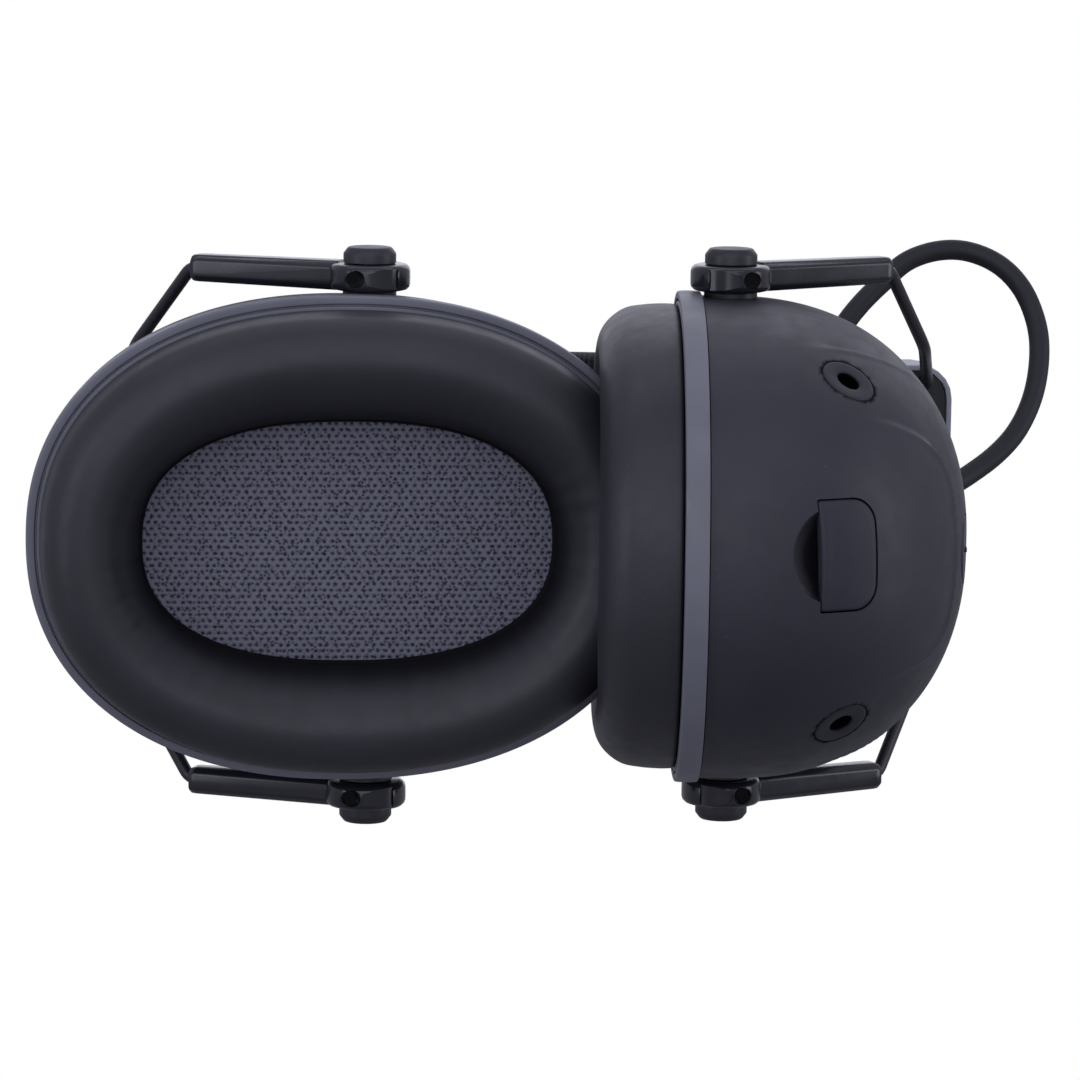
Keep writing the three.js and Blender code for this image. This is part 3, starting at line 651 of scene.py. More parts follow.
def under_point(u, v):
    """Point on the dome's lower side."""
    height = np.asarray(u / DOME_RISE)
    scale = np.where(height <= 0, 1.0,
                     np.maximum(0, 1 - np.maximum(height, 0) ** DOME_POWER) ** (1 / DOME_POWER))
    across = np.abs((v - CUP_MID_V) / (CUP_HALF_V * scale)) ** CUP_POWER
    drop = np.maximum(0, 1 - across) ** (1 / CUP_POWER)
    w = CUP_MID_W - CUP_HALF_W * scale * drop
    return np.stack(np.broadcast_arrays(u, v, w), -1).astype(float)


def under_normal(u, v, step=0.2):
    normal = unit(np.cross(under_point(u + step, v) - under_point(u - step, v),
                           under_point(u, v + step) - under_point(u, v - step)))
    return -normal if normal[2] > 0 else normal


def oval_sum(v, w):
    """Below 1 inside the cup's outline."""
    return (np.abs((v - CUP_MID_V) / CUP_HALF_V) ** CUP_POWER
            + np.abs((w - CUP_MID_W) / CUP_HALF_W) ** CUP_POWER) ** (DOME_POWER / CUP_POWER)


def dome_u(v, w):
    return DOME_RISE * np.maximum(0, 1 - oval_sum(v, w)) ** (1 / DOME_POWER)


def top_normal(v, w, step=0.2):
    return unit([1, -(dome_u(v + step, w) - dome_u(v - step, w)) / (2 * step),
                 -(dome_u(v, w + step) - dome_u(v, w - step)) / (2 * step)])


def dome_field(points):
    """Negative inside the dome, zero on its skin."""
    return (oval_sum(points[..., 1], points[..., 2])
            + np.maximum(points[..., 0] / DOME_RISE, 0) ** DOME_POWER - 1)


def onto_dome(points, normal):
    """Slide points along a normal onto the dome's skin."""
    points, normal = np.asarray(points, float), np.asarray(normal, float)
    low, high = np.full(points.shape[:-1], -8.0), np.full(points.shape[:-1], 5.0)
    for _ in range(40):
        middle = (low + high) / 2
        inside = dome_field(points + middle[..., None] * normal) < 0
        low, high = np.where(inside, middle, low), np.where(inside, high, middle)
    return points + low[..., None] * normal


# Crease lines on the dome's lower side, (u, v): one round a tongue, one by the rear edge that
# is mirrored to the front
TONGUE = catmull([
    (14.0, -26.6), (19.0, -26.2), (23.5, -25.4), (27.1, -24.2), (30.8, -22.2), (34.2, -19.2),
    (36.6, -14.6), (37.8, -8.4), (38.1, -1.0), (37.7, 5.4), (36.4, 11.2), (33.6, 14.9),
    (28.9, 16.6), (23.5, 17.8), (19.0, 18.6), (14.0, 19.2)], 6)
SHOULDER = catmull([
    (9.0, -37.6), (12.8, -37.1), (18.7, -36.1), (24.8, -34.1), (30.5, -30.9), (34.0, -27.6)], 6)


def line_distance(points, line):
    best = np.full(len(points), 1e9)
    for a, b in zip(line[:-1], line[1:]):
        span = b - a
        t = np.clip(((points - a) @ span) / max(span @ span, 1e-9), 0, 1)
        best = np.minimum(best, np.linalg.norm(points - (a + t[:, None] * span), axis=1))
    return best


def inside_polygon(points, polygon):
    x, y = points[:, 0], points[:, 1]
    inside = np.zeros(len(points), bool)
    for (x0, y0), (x1, y1) in zip(polygon, np.roll(polygon, 1, 0)):
        if y0 != y1:
            inside ^= ((y0 > y) != (y1 > y)) & (x < (x1 - x0) * (y - y0) / (y1 - y0) + x0)
    return inside


def crease(dist, beyond, ridge, ridge_width, step, step_width, fade, where=1.0):
    """A fine ridge on the line, and a step down beyond it that fades out."""
    signed = np.where(beyond, dist, -dist)
    down = smooth01((signed + 0.3) / step_width) * np.exp(-(np.maximum(signed, 0) / fade) ** 2)
    return ridge * np.exp(-(dist / ridge_width) ** 2) - step * down * where


def creases(points):
    """Displacement along the normal, mm, for points of the dome's skin."""
    shift = np.zeros(len(points))
    low = points[:, 2] < CUP_MID_W + 14
    near = points[low]
    u, v = near[:, 0], near[:, 1]
    dist = line_distance(near, under_point(TONGUE[:, 0], TONGUE[:, 1]))
    tongue = np.vstack([[(-30, -26.6)], TONGUE, [(-30, 19.4)]])
    outside = ~inside_polygon(near[:, :2], tongue)
    below = smooth01((CUP_MID_W + 4 - near[:, 2]) / 10)
    strength = smooth01((u - 19) / 9) * below * (0.45 + 0.85 * smooth01((u - 31) / 5))
    total = strength * crease(dist, outside, ridge=0.30, ridge_width=0.75, step=0.55,
                              step_width=1.9, fade=9.0)
    for front in (False, True):
        line = SHOULDER.copy()
        if front:
            line[:, 1] = 2 * CUP_MID_V - line[:, 1]
        dist = line_distance(near, under_point(line[:, 0], line[:, 1]))
        strength = smooth01((u - 11) / 8) * (1 - smooth01((u - 30) / 5))
        half = (v > CUP_MID_V) == front
        edge = np.interp(u, line[:, 0], np.abs(line[:, 1] - CUP_MID_V))
        beyond = (np.abs(v - CUP_MID_V) > edge) & half
        total += strength * crease(dist, beyond, ridge=0.22, ridge_width=0.7, step=0.35,
                                   step_width=1.6, fade=6.0, where=half)
    shift[low] = total
    return shift


DOME_ROWS, DOME_COUNT = ((112, 352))


def dome_rings(depth, foot, top_deg, rows, detail=False):
    """Rings from the dome's top down to its foot, depth mm under the skin."""
    half_w, half_v, rise = CUP_HALF_W - depth, CUP_HALF_V - depth, DOME_RISE - depth
    rings = []
    for angle in np.linspace(math.radians(top_deg), 0.0, rows):
        height = math.sin(angle) ** (2 / DOME_POWER)
        scale = math.cos(angle) ** (2 / DOME_POWER)
        rings.append(oval(half_w * scale, half_v * scale, rise * height, DOME_COUNT))
    rings.append(oval(half_w, half_v, foot, DOME_COUNT))
    if detail:
        flat = np.concatenate(rings)
        normal = np.stack([flat[:, 0] / rise ** 2, (flat[:, 1] - CUP_MID_V) / half_v ** 2,
                           (flat[:, 2] - CUP_MID_W) / half_w ** 2], -1)
        normal /= np.linalg.norm(normal, axis=1)[:, None]
        flat = flat + normal * creases(flat)[:, None]
        rings = list(flat.reshape(len(rings), DOME_COUNT, 3))
    return rings


# ------------------------------------------------------------------ features on the dome
PORTS = [(name, under_point(u, v), under_normal(u, v))
         for name, u, v in (("rear", 18.8, -32.2), ("front", 18.3, 25.9))]

BUTTON_PITCH, POWER_W = 16.0, -1.0
# name, w, raised bars as half sizes along (v, w)
BUTTONS = (("volume_up_button", POWER_W + BUTTON_PITCH, [(2.1, 0.42), (0.42, 2.1)]),
           ("power_button", POWER_W, []),
           ("volume_down_button", POWER_W - BUTTON_PITCH, [(0.42, 2.1)]))

EXIT_V, EXIT_W = -1.5, 24.5                # cable exit
EXIT = np.array([float(dome_u(EXIT_V, EXIT_W)), EXIT_V, EXIT_W])
EXIT_NORMAL = top_normal(EXIT_V, EXIT_W)

# Charging flap under the right cup, with a finger recess on its head side
FLAP_U, FLAP_V = 18.5, -4.9
FLAP_LENGTH, FLAP_WIDTH, FLAP_CORNER = 10.8, 18.9, 4.2     # along u, along v, radius
FLAP_POINT = under_point(FLAP_U, FLAP_V)
FLAP_NORMAL = under_normal(FLAP_U, FLAP_V)
FORWARD = np.array([0, 1.0, 0])
FLAP_OUT = unit(np.cross(FORWARD, FLAP_NORMAL))
if FLAP_OUT[0] < 0:
    FLAP_OUT = -FLAP_OUT
RECESS_CENTRE = FLAP_POINT + FLAP_OUT * (-FLAP_LENGTH / 2 + 2.6)


def flap_outline(grow, steps=8):
    """(out, forward) outline: large corners on the outer side, evenly spaced points."""
    half_u, half_v = FLAP_LENGTH / 2 + grow, FLAP_WIDTH / 2 + grow
    radius = FLAP_CORNER + grow
    points = [(-half_u, -half_v)]
    for start, end_sign in ((-math.pi / 2, -1), (0.0, 1)):
        for k in range(steps + 1):
            t = start + (math.pi / 2) * k / steps
            points.append((half_u - radius + radius * math.cos(t),
                           end_sign * (half_v - radius) + radius * math.sin(t)))
    points.append((-half_u, half_v))
    points = fillet(points, [0.5] + [0] * (len(points) - 2) + [0.5], 3)
    out = []
    for a, b in zip(points, np.roll(points, -1, 0)):
        count = max(1, int(np.linalg.norm(b - a) / 1.0))
        out += [a + (b - a) * j / count for j in range(count)]
    return np.array(out)


def flap_plane(outline, height=0.0):
    """Outline in the flap's plane to the cup frame, raised along its normal."""
    outline = np.asarray(outline, float)
    flat = FLAP_POINT + outline[:, :1] * FLAP_OUT + outline[:, 1:2] * FORWARD
    return flat + height * FLAP_NORMAL


def flap_prism(outline, low, high):
    return loft([flap_plane(outline, height) for height in (low, high)])


def axis_distance(points, origin, axis):
    offset = points - origin
    return np.linalg.norm(offset - (offset @ axis)[:, None] * axis, axis=1)


# ------------------------------------------------------------------ cup pieces
def build_shell(side):
    right = side == "right"
    outer = dome_rings(0, RIM_U + 0.3, top_deg=89.2, rows=DOME_ROWS, detail=True)
    lip = [oval(CUP_HALF_W - inset, CUP_HALF_V - inset, RIM_U - drop, DOME_COUNT)
           for inset, drop in ((0, 0.1), (0.06, 0.16), (0.5, 0.18))]
    inner = dome_rings(SHELL_WALL, RIM_U, top_deg=88, rows=26)
    shape = loft([*outer, *lip, *reversed(inner)])
    shell = make(side + "_shell", in_cup(side, shape), "shell_plastic")

    cuts = [turned(rod(2.75, -7, 7), (0, end * 41, 0), FORWARD, 32) for end in (-1, 1)]
    hole = [(0, -7), (4.95, -7), (4.95, -0.30), (5.03, -0.05), (5.5, 1.5), (0, 1.5)]
    cuts += [turned(hole, point, normal, 64) for _, point, normal in PORTS]
    cuts.append(turned(rod(3.15, -7, 6), EXIT, EXIT_NORMAL, 32))
    if right:
        cuts.append(flap_prism(flap_outline(0.10), -6, 6))
        cuts += [turned(rod(6.25, 34, 48), (0, CUP_MID_V, w), (1, 0, 0), 64)
                 for _, w, _ in BUTTONS]
        # finger recess: the head-side half of a round scoop
        scoop = [(0, -1.95), (5.0, -1.95), (7.2, -1.75), (7.9, -1.35), (8.25, -0.75),
                 (8.4, -0.1), (8.55, 3.0), (0, 3.0)]
        recess = cutter(in_cup(side, turned(scoop, RECESS_CENTRE, FLAP_NORMAL, 96)))
        half = flap_prism([(-20, -15), (0, -15), (0, 15), (-20, 15)], -8, 8)
        boolean(recess, "INTERSECT", cutter(in_cup(side, half)))
        boolean(shell, "DIFFERENCE", recess)
    combine(shell, "DIFFERENCE", [in_cup(side, shape) for shape in cuts], angle=38)

    # shade gathers in the finger recess and round the ports
    points = unplace(side, coords(shell.data))
    lower = points[:, 2] < CUP_MID_W
    shade = np.zeros(len(points))
    if right:
        field = dome_field(points)
        slope = (dome_field(points + 0.05 * FLAP_NORMAL) - field) / 0.05
        depth = -field / np.maximum(slope, 1e-3)
        in_recess = ((axis_distance(points, RECESS_CENTRE, FLAP_NORMAL) < 8.6)
                     & (depth > 0.15) & (depth < 2.3) & lower)
        shade = np.where(in_recess, 0.55 + 0.45 * smooth01(depth / 1.2), shade)
    for _, point, normal in PORTS:
        shade = np.where((axis_distance(points, point, normal) < 5.35) & lower, 1.0, shade)
    mark(shell, "shade", shade)
    show(shell, side + "_cup", "shell_plastic", side + "_cup_shell")


# Port grommet section: radius, height over the skin, whether it follows the skin, shade
GROMMET = (
    (2.05, -3.4, False, 1.0), (2.05, -1.5, False, 1.0), (1.98, -0.75, False, 1.0),
    (2.04, -0.40, True, 0.85), (2.22, -0.27, True, 0.2), (2.9, -0.20, True, 0.0),
    (3.7, -0.06, True, 0.0), (4.45, 0.0, True, 0.0), (4.72, -0.03, True, 0.0),
    (4.82, -0.12, True, 0.0), (4.85, -0.4, True, 0.5), (4.85, -1.6, False, 1.0),
    (4.85, -3.4, False, 1.0))


def build_port(side, name, point, normal):
    """Grommet, and a woven screen across its hole, coloured near black as painted shade for the
    hole's depth.
    """
    first, second, _ = basis(normal)
    count = 72
    round_ = circle(count, first, second)
    rings = []
    for radius, height, follows, _ in GROMMET:
        flat = point + radius * round_
        rings.append((onto_dome(flat, normal) if follows else flat) + height * normal)
    shape = loft(rings, wrap=True)
    ob = make(f"{side}_{name}_port", in_cup(side, shape), "port_rubber", 50)
    mark(ob, "shade", np.repeat([row[3] for row in GROMMET], count))
    show(ob, side + "_cup", "soft_rubber", f"{side}_{name}_port_grommet")

    # a shallow crowned disc with small pits
    radii = np.linspace(0.06, 1.9, 14)
    angle = np.linspace(0, 2 * np.pi, 44, endpoint=False)
    face = []
    for radius in radii:
        x, y = radius * np.cos(angle), radius * np.sin(angle)
        pits = 0.07 * np.sin(x * 11) * np.sin(y * 11)
        height = -2.35 + 0.12 * (1 - (radius / 1.8) ** 2) + pits
        face.append(point + x[:, None] * first + y[:, None] * second + height[:, None] * normal)
    back = [point + radius * circle(44, first, second) - 2.75 * normal
            for radius in radii[::-1]]
    shape = in_cup(side, loft(face + back))
    show(make(f"{side}_{name}_shaded_port_screen", shape, "shaded_port_screen", 60), side + "_cup", "foam")


# Cable gland with strain-relief ribs: radius, distance out of the dome
GLAND = (
    (2.4, -2.3), (2.4, 4.2), (2.62, 4.35), (2.78, 4.15), (2.85, 3.85), (2.5, 3.65), (2.5, 3.4),
    (3.05, 3.2), (3.1, 2.9), (2.6, 2.7), (2.6, 2.45), (3.3, 2.25), (3.35, 1.95), (2.7, 1.75),
    (2.7, 1.6), (3.75, 1.45), (3.9, 1.25), (3.92, 1.0), (3.8, 0.82), (2.8, 0.8), (2.8, -2.3))


def build_gland(side):
    shape = in_cup(side, turned(GLAND, EXIT, EXIT_NORMAL, 40, ring=True))
    show(make(side + "_gland", shape, "soft_rubber", 55), side + "_cup", "soft_rubber",
         side + "_cable_gland")


# Oval ring sections: half size along w, u, corner radius
TRIM_RING = np.array([
    (52.5, -9.2, 0.2), (53.75, -9.2, 0.12), (53.85, -8.6, 0.1), (54.15, -8.6, 0.1),
    (54.25, -9.2, 0.12), (55.6, -9.2, 0.40), (55.72, -7.3, 1.6), (55.6, -5.2, 0.22),
    (54.3, -5.2, 0.15), (54.2, -5.6, 0.1), (53.6, -5.6, 0.1), (52.5, -5.4, 0.2)])
CARRIER = np.array([
    (37.8, -10.95, 0.1), (50.9, -10.95, 0.25), (50.9, -9.65, 0.25), (37.8, -9.65, 0.1)])
CARRIER_HOLE_V, CARRIER_HOLE_POWER = 23.2, 2.4


def build_rings(side):
    """Trim ring, and the lip that carries the cushion."""
    count = 224
    narrower = CUP_HALF_W - CUP_HALF_V
    rings = [oval(half_w, half_w - narrower, u, count)
             for half_w, u in fillet(TRIM_RING[:, :2], TRIM_RING[:, 2], 4)]
    shape = in_cup(side, loft(rings, wrap=True))
    show(make(side + "_ring", shape, "trim_plastic", 40), side + "_cup", "trim_plastic",
         side + "_trim_ring")
    rings = []
    for half_w, u in fillet(CARRIER[:, :2], CARRIER[:, 2], 3):
        if half_w > 45:
            rings.append(oval(half_w, half_w - narrower, u, count))
        else:
            rings.append(oval(half_w, CARRIER_HOLE_V, u, count, CARRIER_HOLE_POWER))
    shape = in_cup(side, loft(rings, wrap=True))
    show(make(side + "_carrier", shape, "frame_plastic", 40), side + "_cup", "frame_plastic",
         side + "_cushion_carrier")


# Cushion section: half size along w, along v, u, superellipse power
CUSHION = (
    (52.7, 39.6, -9.34, 2.22), (53.2, 40.1, -9.6, 2.22), (53.35, 40.25, -11.0, 2.22),
    (53.3, 40.2, -13.2, 2.22), (53.15, 40.05, -15.0, 2.22), (52.55, 39.5, -18.2, 2.22),
    (50.95, 37.9, -20.8, 2.22), (48.6, 35.6, -22.6, 2.22), (45.2, 32.2, -23.35, 2.24),
    (42.0, 28.9, -22.5, 2.28), (39.6, 25.6, -20.2, 2.32), (37.7, 23.2, -17.2, 2.36),
    (36.6, 21.9, -14.2, 2.4), (36.15, 21.45, -12.3, 2.4), (35.75, 21.05, -11.75, 2.4),
    (35.6, 20.9, -11.35, 2.4), (36.2, 21.5, -11.15, 2.4), (38.6, 24.2, -11.1, 2.35),
    (45.0, 31.6, -11.1, 2.26), (50.3, 37.2, -11.15, 2.22), (51.35, 38.25, -11.0, 2.22),
    (51.7, 38.6, -9.8, 2.22))


def build_cushion(side):
    """Soft ring: slow swells on its face and faint gathers on its inner wall."""
    dense = catmull(CUSHION, 5, closed=True)
    count = 288
    angle = 2 * np.pi * (np.arange(count) + 0.5) / count
    swell = (0.16 * np.sin(3 * angle + 0.7) + 0.10 * np.sin(5 * angle + 2.1)
             + 0.06 * np.sin(9 * angle + 0.4))
    coarse = np.sin(34 * angle + 1.5 * np.sin(3 * angle)) * (0.6 + 0.4 * np.sin(4 * angle + 1))
    gather = 0.07 * coarse + 0.05 * np.sin(57 * angle + 2 * np.sin(5 * angle))
    rings, fold_shades = [], []
    for half_w, half_v, u, power in dense:
        ring = oval(half_w, half_v, u, count, power)
        face = smooth01((-u - 14) / 8)
        inner_wall = (smooth01((half_w - 35) / 2) * (1 - smooth01((half_w - 42) / 4))
                      * smooth01((-u - 12) / 3))
        ring[:, 0] -= face * (swell - 0.14) * 0.6
        radial = ring[:, 1:] - np.array([CUP_MID_V, CUP_MID_W])
        radial /= np.linalg.norm(radial, axis=1)[:, None]
        ring[:, 1:] += radial * (inner_wall * gather)[:, None]
        rings.append(ring)
        # painted shade: at the inner fold next to the mesh, and on the outer wall against the trim
        # ring
        fold_shades.append((1 - smooth01((half_w - 36.3) / 2.9)) * smooth01((-u - 9) / 2)
                     + 0.8 * (1 - smooth01((abs(u) - 9.45) / 0.5)))
    shape = in_cup(side, loft(rings, wrap=True))
    ob = make(side + "_cushion", shape, "cushion_skin", 60)
    mark(ob, "fold_shade", np.repeat(np.clip(fold_shades, 0, 1), count))
    show(ob, side + "_cup", "cushion_skin", side + "_ear_cushion")


def build_foam(side, half_w=49.5, half_v=36.5):
    """Slab behind the mesh, with rounded edges and uneven faces."""
    count = 192
    fractions = np.concatenate([[0.02], np.linspace(0.08, 0.97, 18), [0.985, 0.996]])

    def face(face_u, inward):
        rows = []
        for fraction in fractions:
            row = oval(half_w * fraction, half_v * fraction, face_u, count)
            v, w = row[:, 1], row[:, 2]
            lump = (0.10 * np.sin(w * 0.9 + 0.7 * np.sin(v * 0.6))
                    * np.sin(v * 1.1 + 0.5 * np.sin(w * 0.5)))
            edge = 0.9 * max(0.0, (fraction - 0.955) / 0.045) ** 2
            row[:, 0] += inward * (0.14 + lump + edge)
            rows.append(row)
        return rows

    sides = [oval(half_w, half_v, u, count) for u in (-7.9, -6.6)]
    shape = in_cup(side, loft(face(-9.28, 1) + sides + face(-5.22, -1)[::-1]))
    show(make(side + "_foam", shape, "foam", 60), side + "_cup", "foam", side + "_foam_insert")


def build_mesh_cloth(side):
    """Spacer mesh: a grid with staggered pinholes and thread relief, on a flat back."""
    right = side == "right"
    pitch = 0.18
    half_w, half_v, power = 37.1, 22.5, 2.4
    w, v = np.meshgrid(np.arange(-half_w - pitch, half_w + 2 * pitch, pitch),
                       np.arange(-half_v - pitch, half_v + 2 * pitch, pitch), indexing="ij")
    hole_pitch_w, hole_pitch_v = 1.36, 1.08
    row = np.round(v / hole_pitch_v)
    stagger = np.where(row.astype(int) % 2 == 0, 0.0, hole_pitch_w / 2)
    column = np.round((w - stagger) / hole_pitch_w)
    jitter = 0.10 * np.sin(row * 12.9898 + column * 78.233)
    hole_w = column * hole_pitch_w + stagger + jitter
    hole = np.exp(-(((w - hole_w) / 0.34) ** 2 + ((v - row * hole_pitch_v) / 0.28) ** 2))
    rng = np.random.default_rng(11 if right else 12)
    threads = (0.045 * np.sin(w * 9.4 + 1.3 * np.sin(v * 5.3))
               * np.cos(v * 7.9 + 1.1 * np.sin(w * 4.4)) + 0.05 * (rng.random(w.shape) - 0.5))
    spread = np.abs(w / half_w) ** power + np.abs(v / half_v) ** power
    pillow = (0.45 if right else 0.9) * (1 - np.minimum(1, spread))
    top = -10.45 - pillow - threads + 0.30 * hole

    # keep the grid cells that lie wholly inside the oval
    inside = spread < 1.0
    cells = inside[:-1, :-1] & inside[1:, :-1] & inside[:-1, 1:] & inside[1:, 1:]
    used = np.zeros(w.shape, bool)
    for di in (0, 1):
        for dj in (0, 1):
            used[di:di + cells.shape[0], dj:dj + cells.shape[1]] |= cells
    count = used.sum()
    index = -np.ones(w.shape, int)
    index[used] = np.arange(count)
    front = np.stack([top[used], v[used] + CUP_MID_V, w[used] + CUP_MID_W], -1)
    back = front.copy()
    back[:, 0] = -9.65
    i, j = np.nonzero(cells)
    a, b, c, d = index[i, j], index[i + 1, j], index[i + 1, j + 1], index[i, j + 1]
    faces = np.stack([a, b, c, d], -1).tolist()
    faces += np.stack([d + count, c + count, b + count, a + count], -1).tolist()
    padded = np.pad(cells, 1)
    # walls along the border: step to the neighbour, and the two corners on that edge
    for di, dj, start, end in ((-1, 0, d, a), (1, 0, b, c), (0, -1, a, b), (0, 1, c, d)):
        border = ~padded[i + 1 + di, j + 1 + dj]
        p, q = start[border], end[border]
        faces += np.stack([q, p, p + count, q + count], -1).tolist()
    shape = in_cup(side, (np.vstack([front, back]), faces))
    ob = make(side + "_mesh", shape, "mesh_cloth_" + side, 180)
    # painted shade for the pinholes, read by the cloth material
    dark = np.clip(hole[used] * 1.25 - 0.1, 0, 1)
    mark(ob, "hole", np.concatenate([dark, np.zeros(count)]))
    show(ob, side + "_cup", "mesh_cloth", side + "_mesh_cloth")


def build_pins(side):
    """Pivot pins; the rear one's collar starts further out."""
    for (where, end), collar in zip(ENDS, (41.3, 42.0)):
        profile = [(0, 38.2), (2.4, 38.2), (2.4, collar), (4.6, collar), (4.7, collar + 0.1),
                   (4.7, 43.25), (4.6, 43.35), (2.75, 43.35), (2.75, 48.22), (4.5, 48.22),
                   (4.62, 48.32), (4.62, 49.7), (4.56, 49.95), (3.95, 50.75), (3.75, 50.92),
                   (3.45, 50.98), (0, 51.0)]
        shape = turned([(radius, end * y) for radius, y in profile], (0, 0, 0), FORWARD, 64)
        show(make(f"{side}_{where}_pin", in_cup(side, shape), "pin_plastic", 40),
             side + "_cup", "pin_plastic", f"{side}_{where}_pivot_pin")


def build_flap():
    outline = flap_outline(-0.14)

    def ring(inset, height, lip_mm=0.0):
        points = outline * (1 - inset)
        lip = lip_mm * np.exp(-((points[:, 0] + FLAP_LENGTH / 2 - 0.75) / 0.45) ** 2)
        on_skin = onto_dome(flap_plane(points), FLAP_NORMAL)
        return on_skin + (height + lip)[:, None] * FLAP_NORMAL

    rings = [ring(inset, -1.7) for inset in (0.96, 0.6, 0.03)]
    rings += [ring(inset, height) for inset, height in ((0.0, -1.65), (0.0, -0.32),
                                                        (0.012, -0.14))]
    # the top face, with a low lip along its head side
    rings += [ring(inset, height, lip_mm=0.16) for inset, height in (
        (0.035, -0.03), (0.07, 0.0), (0.16, 0.0), (0.3, 0.0), (0.48, 0.0), (0.66, 0.0),
        (0.84, 0.0), (0.96, 0.0))]
    flap = make("flap", in_cup("right", loft(rings)), "soft_rubber", 45)
    show(flap, "charging_flap", "soft_rubber", "charging_port_flap")


def build_button(name, mid_w, bars):
    """Dished key that follows the dome, with a raised mark."""
    mid_v, count = CUP_MID_V, 64
    angle = np.linspace(0, 2 * np.pi, count, endpoint=False)
    rings = [np.stack([np.full(count, u), mid_v + radius * np.cos(angle),
                       mid_w + radius * np.sin(angle)], -1)
             for radius, u in ((5.9, 36.2), (6.0, 36.5))]
    # radius, height over the skin
    for radius, lift in ((6.0, -0.7), (5.93, -0.35), (5.7, -0.14), (5.2, -0.08), (4.2, -0.12),
                         (3.2, -0.22), (2.0, -0.30), (0.8, -0.33)):
        v, w = mid_v + radius * np.cos(angle), mid_w + radius * np.sin(angle)
        rings.append(np.stack([dome_u(v, w) + lift, v, w], -1))
    key = make(name + "_key", in_cup("right", loft(rings)), "soft_rubber", 40)
    skin_u = float(dome_u(mid_v, mid_w))
    low, high = skin_u - 1, skin_u - 0.08
    marks = []
    for half_v, half_w in bars:
        outline = fillet([(-half_v, -half_w), (half_v, -half_w), (half_v, half_w),
                          (-half_v, half_w)], 0.35, 4)
        marks.append(loft([np.stack([np.full(len(outline), u), mid_v + outline[:, 0],
                                     mid_w + outline[:, 1]], -1) for u in (low, high)]))
    if name == "power_button":
        marks.append(turned([(1.5, low), (1.5, high), (2.0, high), (2.0, low)],
                            (0, mid_v, mid_w), (1, 0, 0), 48, ring=True))
    combine(key, "UNION", [in_cup("right", shape) for shape in marks], angle=40)
    show(key, name, "soft_rubber", name)


for side in SIGN:
    build_shell(side)
    for port in PORTS:
        build_port(side, *port)
    build_gland(side)
    build_rings(side)
    build_cushion(side)
    build_foam(side)
    build_mesh_cloth(side)
    build_pins(side)
build_flap()
for button in BUTTONS:
    build_button(*button)


# ------------------------------------------------------------------ yokes
SLOPE_COS, SLOPE_SIN = math.cos(ARM_SLOPE), math.sin(ARM_SLOPE)
# Arm bar: distance from the pivot, half height, half width
ARM_STATIONS = (
    (3.6, 2.6, 2.12), (5.2, 2.66, 2.16), (5.5, 2.95, 2.56), (5.9, 2.98, 2.60),
    (ARM_LENGTH - 1.4, 2.64, 2.40), (ARM_LENGTH - 0.5, 2.58, 2.34),
    (ARM_LENGTH - 0.1, 2.36, 2.12), (ARM_LENGTH, 2.06, 1.80))
# Bar section as fractions of (half height, half width)
ARM_SECTION = fillet([(1, .58), (.60, 1), (-.60, 1), (-1, .58), (-1, -.58), (-.60, -1),
                      (.60, -1), (1, -.58)], 0.13, 2)
# Pivot eye: radius, distance along y
ARM_EYE = [(0, -2.3), (5.9, -2.3), (6.5, -2.15), (6.95, -1.7), (7.1, -1.2), (7.12, 0),
           (7.1, 1.2), (6.95, 1.7), (6.5, 2.15), (5.9, 2.3), (0, 2.3)]
# D-shaped panel under the eye: (x outwards, y)
ARM_PANEL = fillet([(1.15, -0.75), (-1.2, -1.6), (-4.55, -1.85), (-4.55, 1.85), (-1.2, 1.6),
                    (1.15, 0.75)], [0.6, 1.5, 0.3, 0.3, 1.5, 0.6], 5)


def arm_point(sign, end, distance):
    return np.array([sign * (PIVOT_X + distance * SLOPE_COS),
                     end * (ARM_Y + (ARM_END_Y - ARM_Y) * distance / ARM_LENGTH),
                     distance * SLOPE_SIN])


def build_wire(side, sign, where, end):
    bend = np.array([sign * WIRE_BEND[0], end * WIRE_BEND[1], WIRE_BEND[2]])
    foot, top = [np.array([band_x(sign, LEG_X), end * LEG_Y, z])
                 for z in (LEG_FOOT_Z, LEG_TOP_Z)]
    corners = [arm_point(sign, end, ARM_LENGTH - 14), arm_point(sign, end, ARM_LENGTH + 0.6),
               bend, foot, top]
    path = resample(fillet(corners, [0, 1.8, 3.2, 2.5, 0], 10, closed=False), 0.8)
    show(make(f"{side}_{where}_wire", in_band(tube(path, WIRE_RADIUS)), "yoke_wire", 60),
         side + "_yoke", "yoke_wire", f"{side}_{where}_yoke_wire")
    return bend


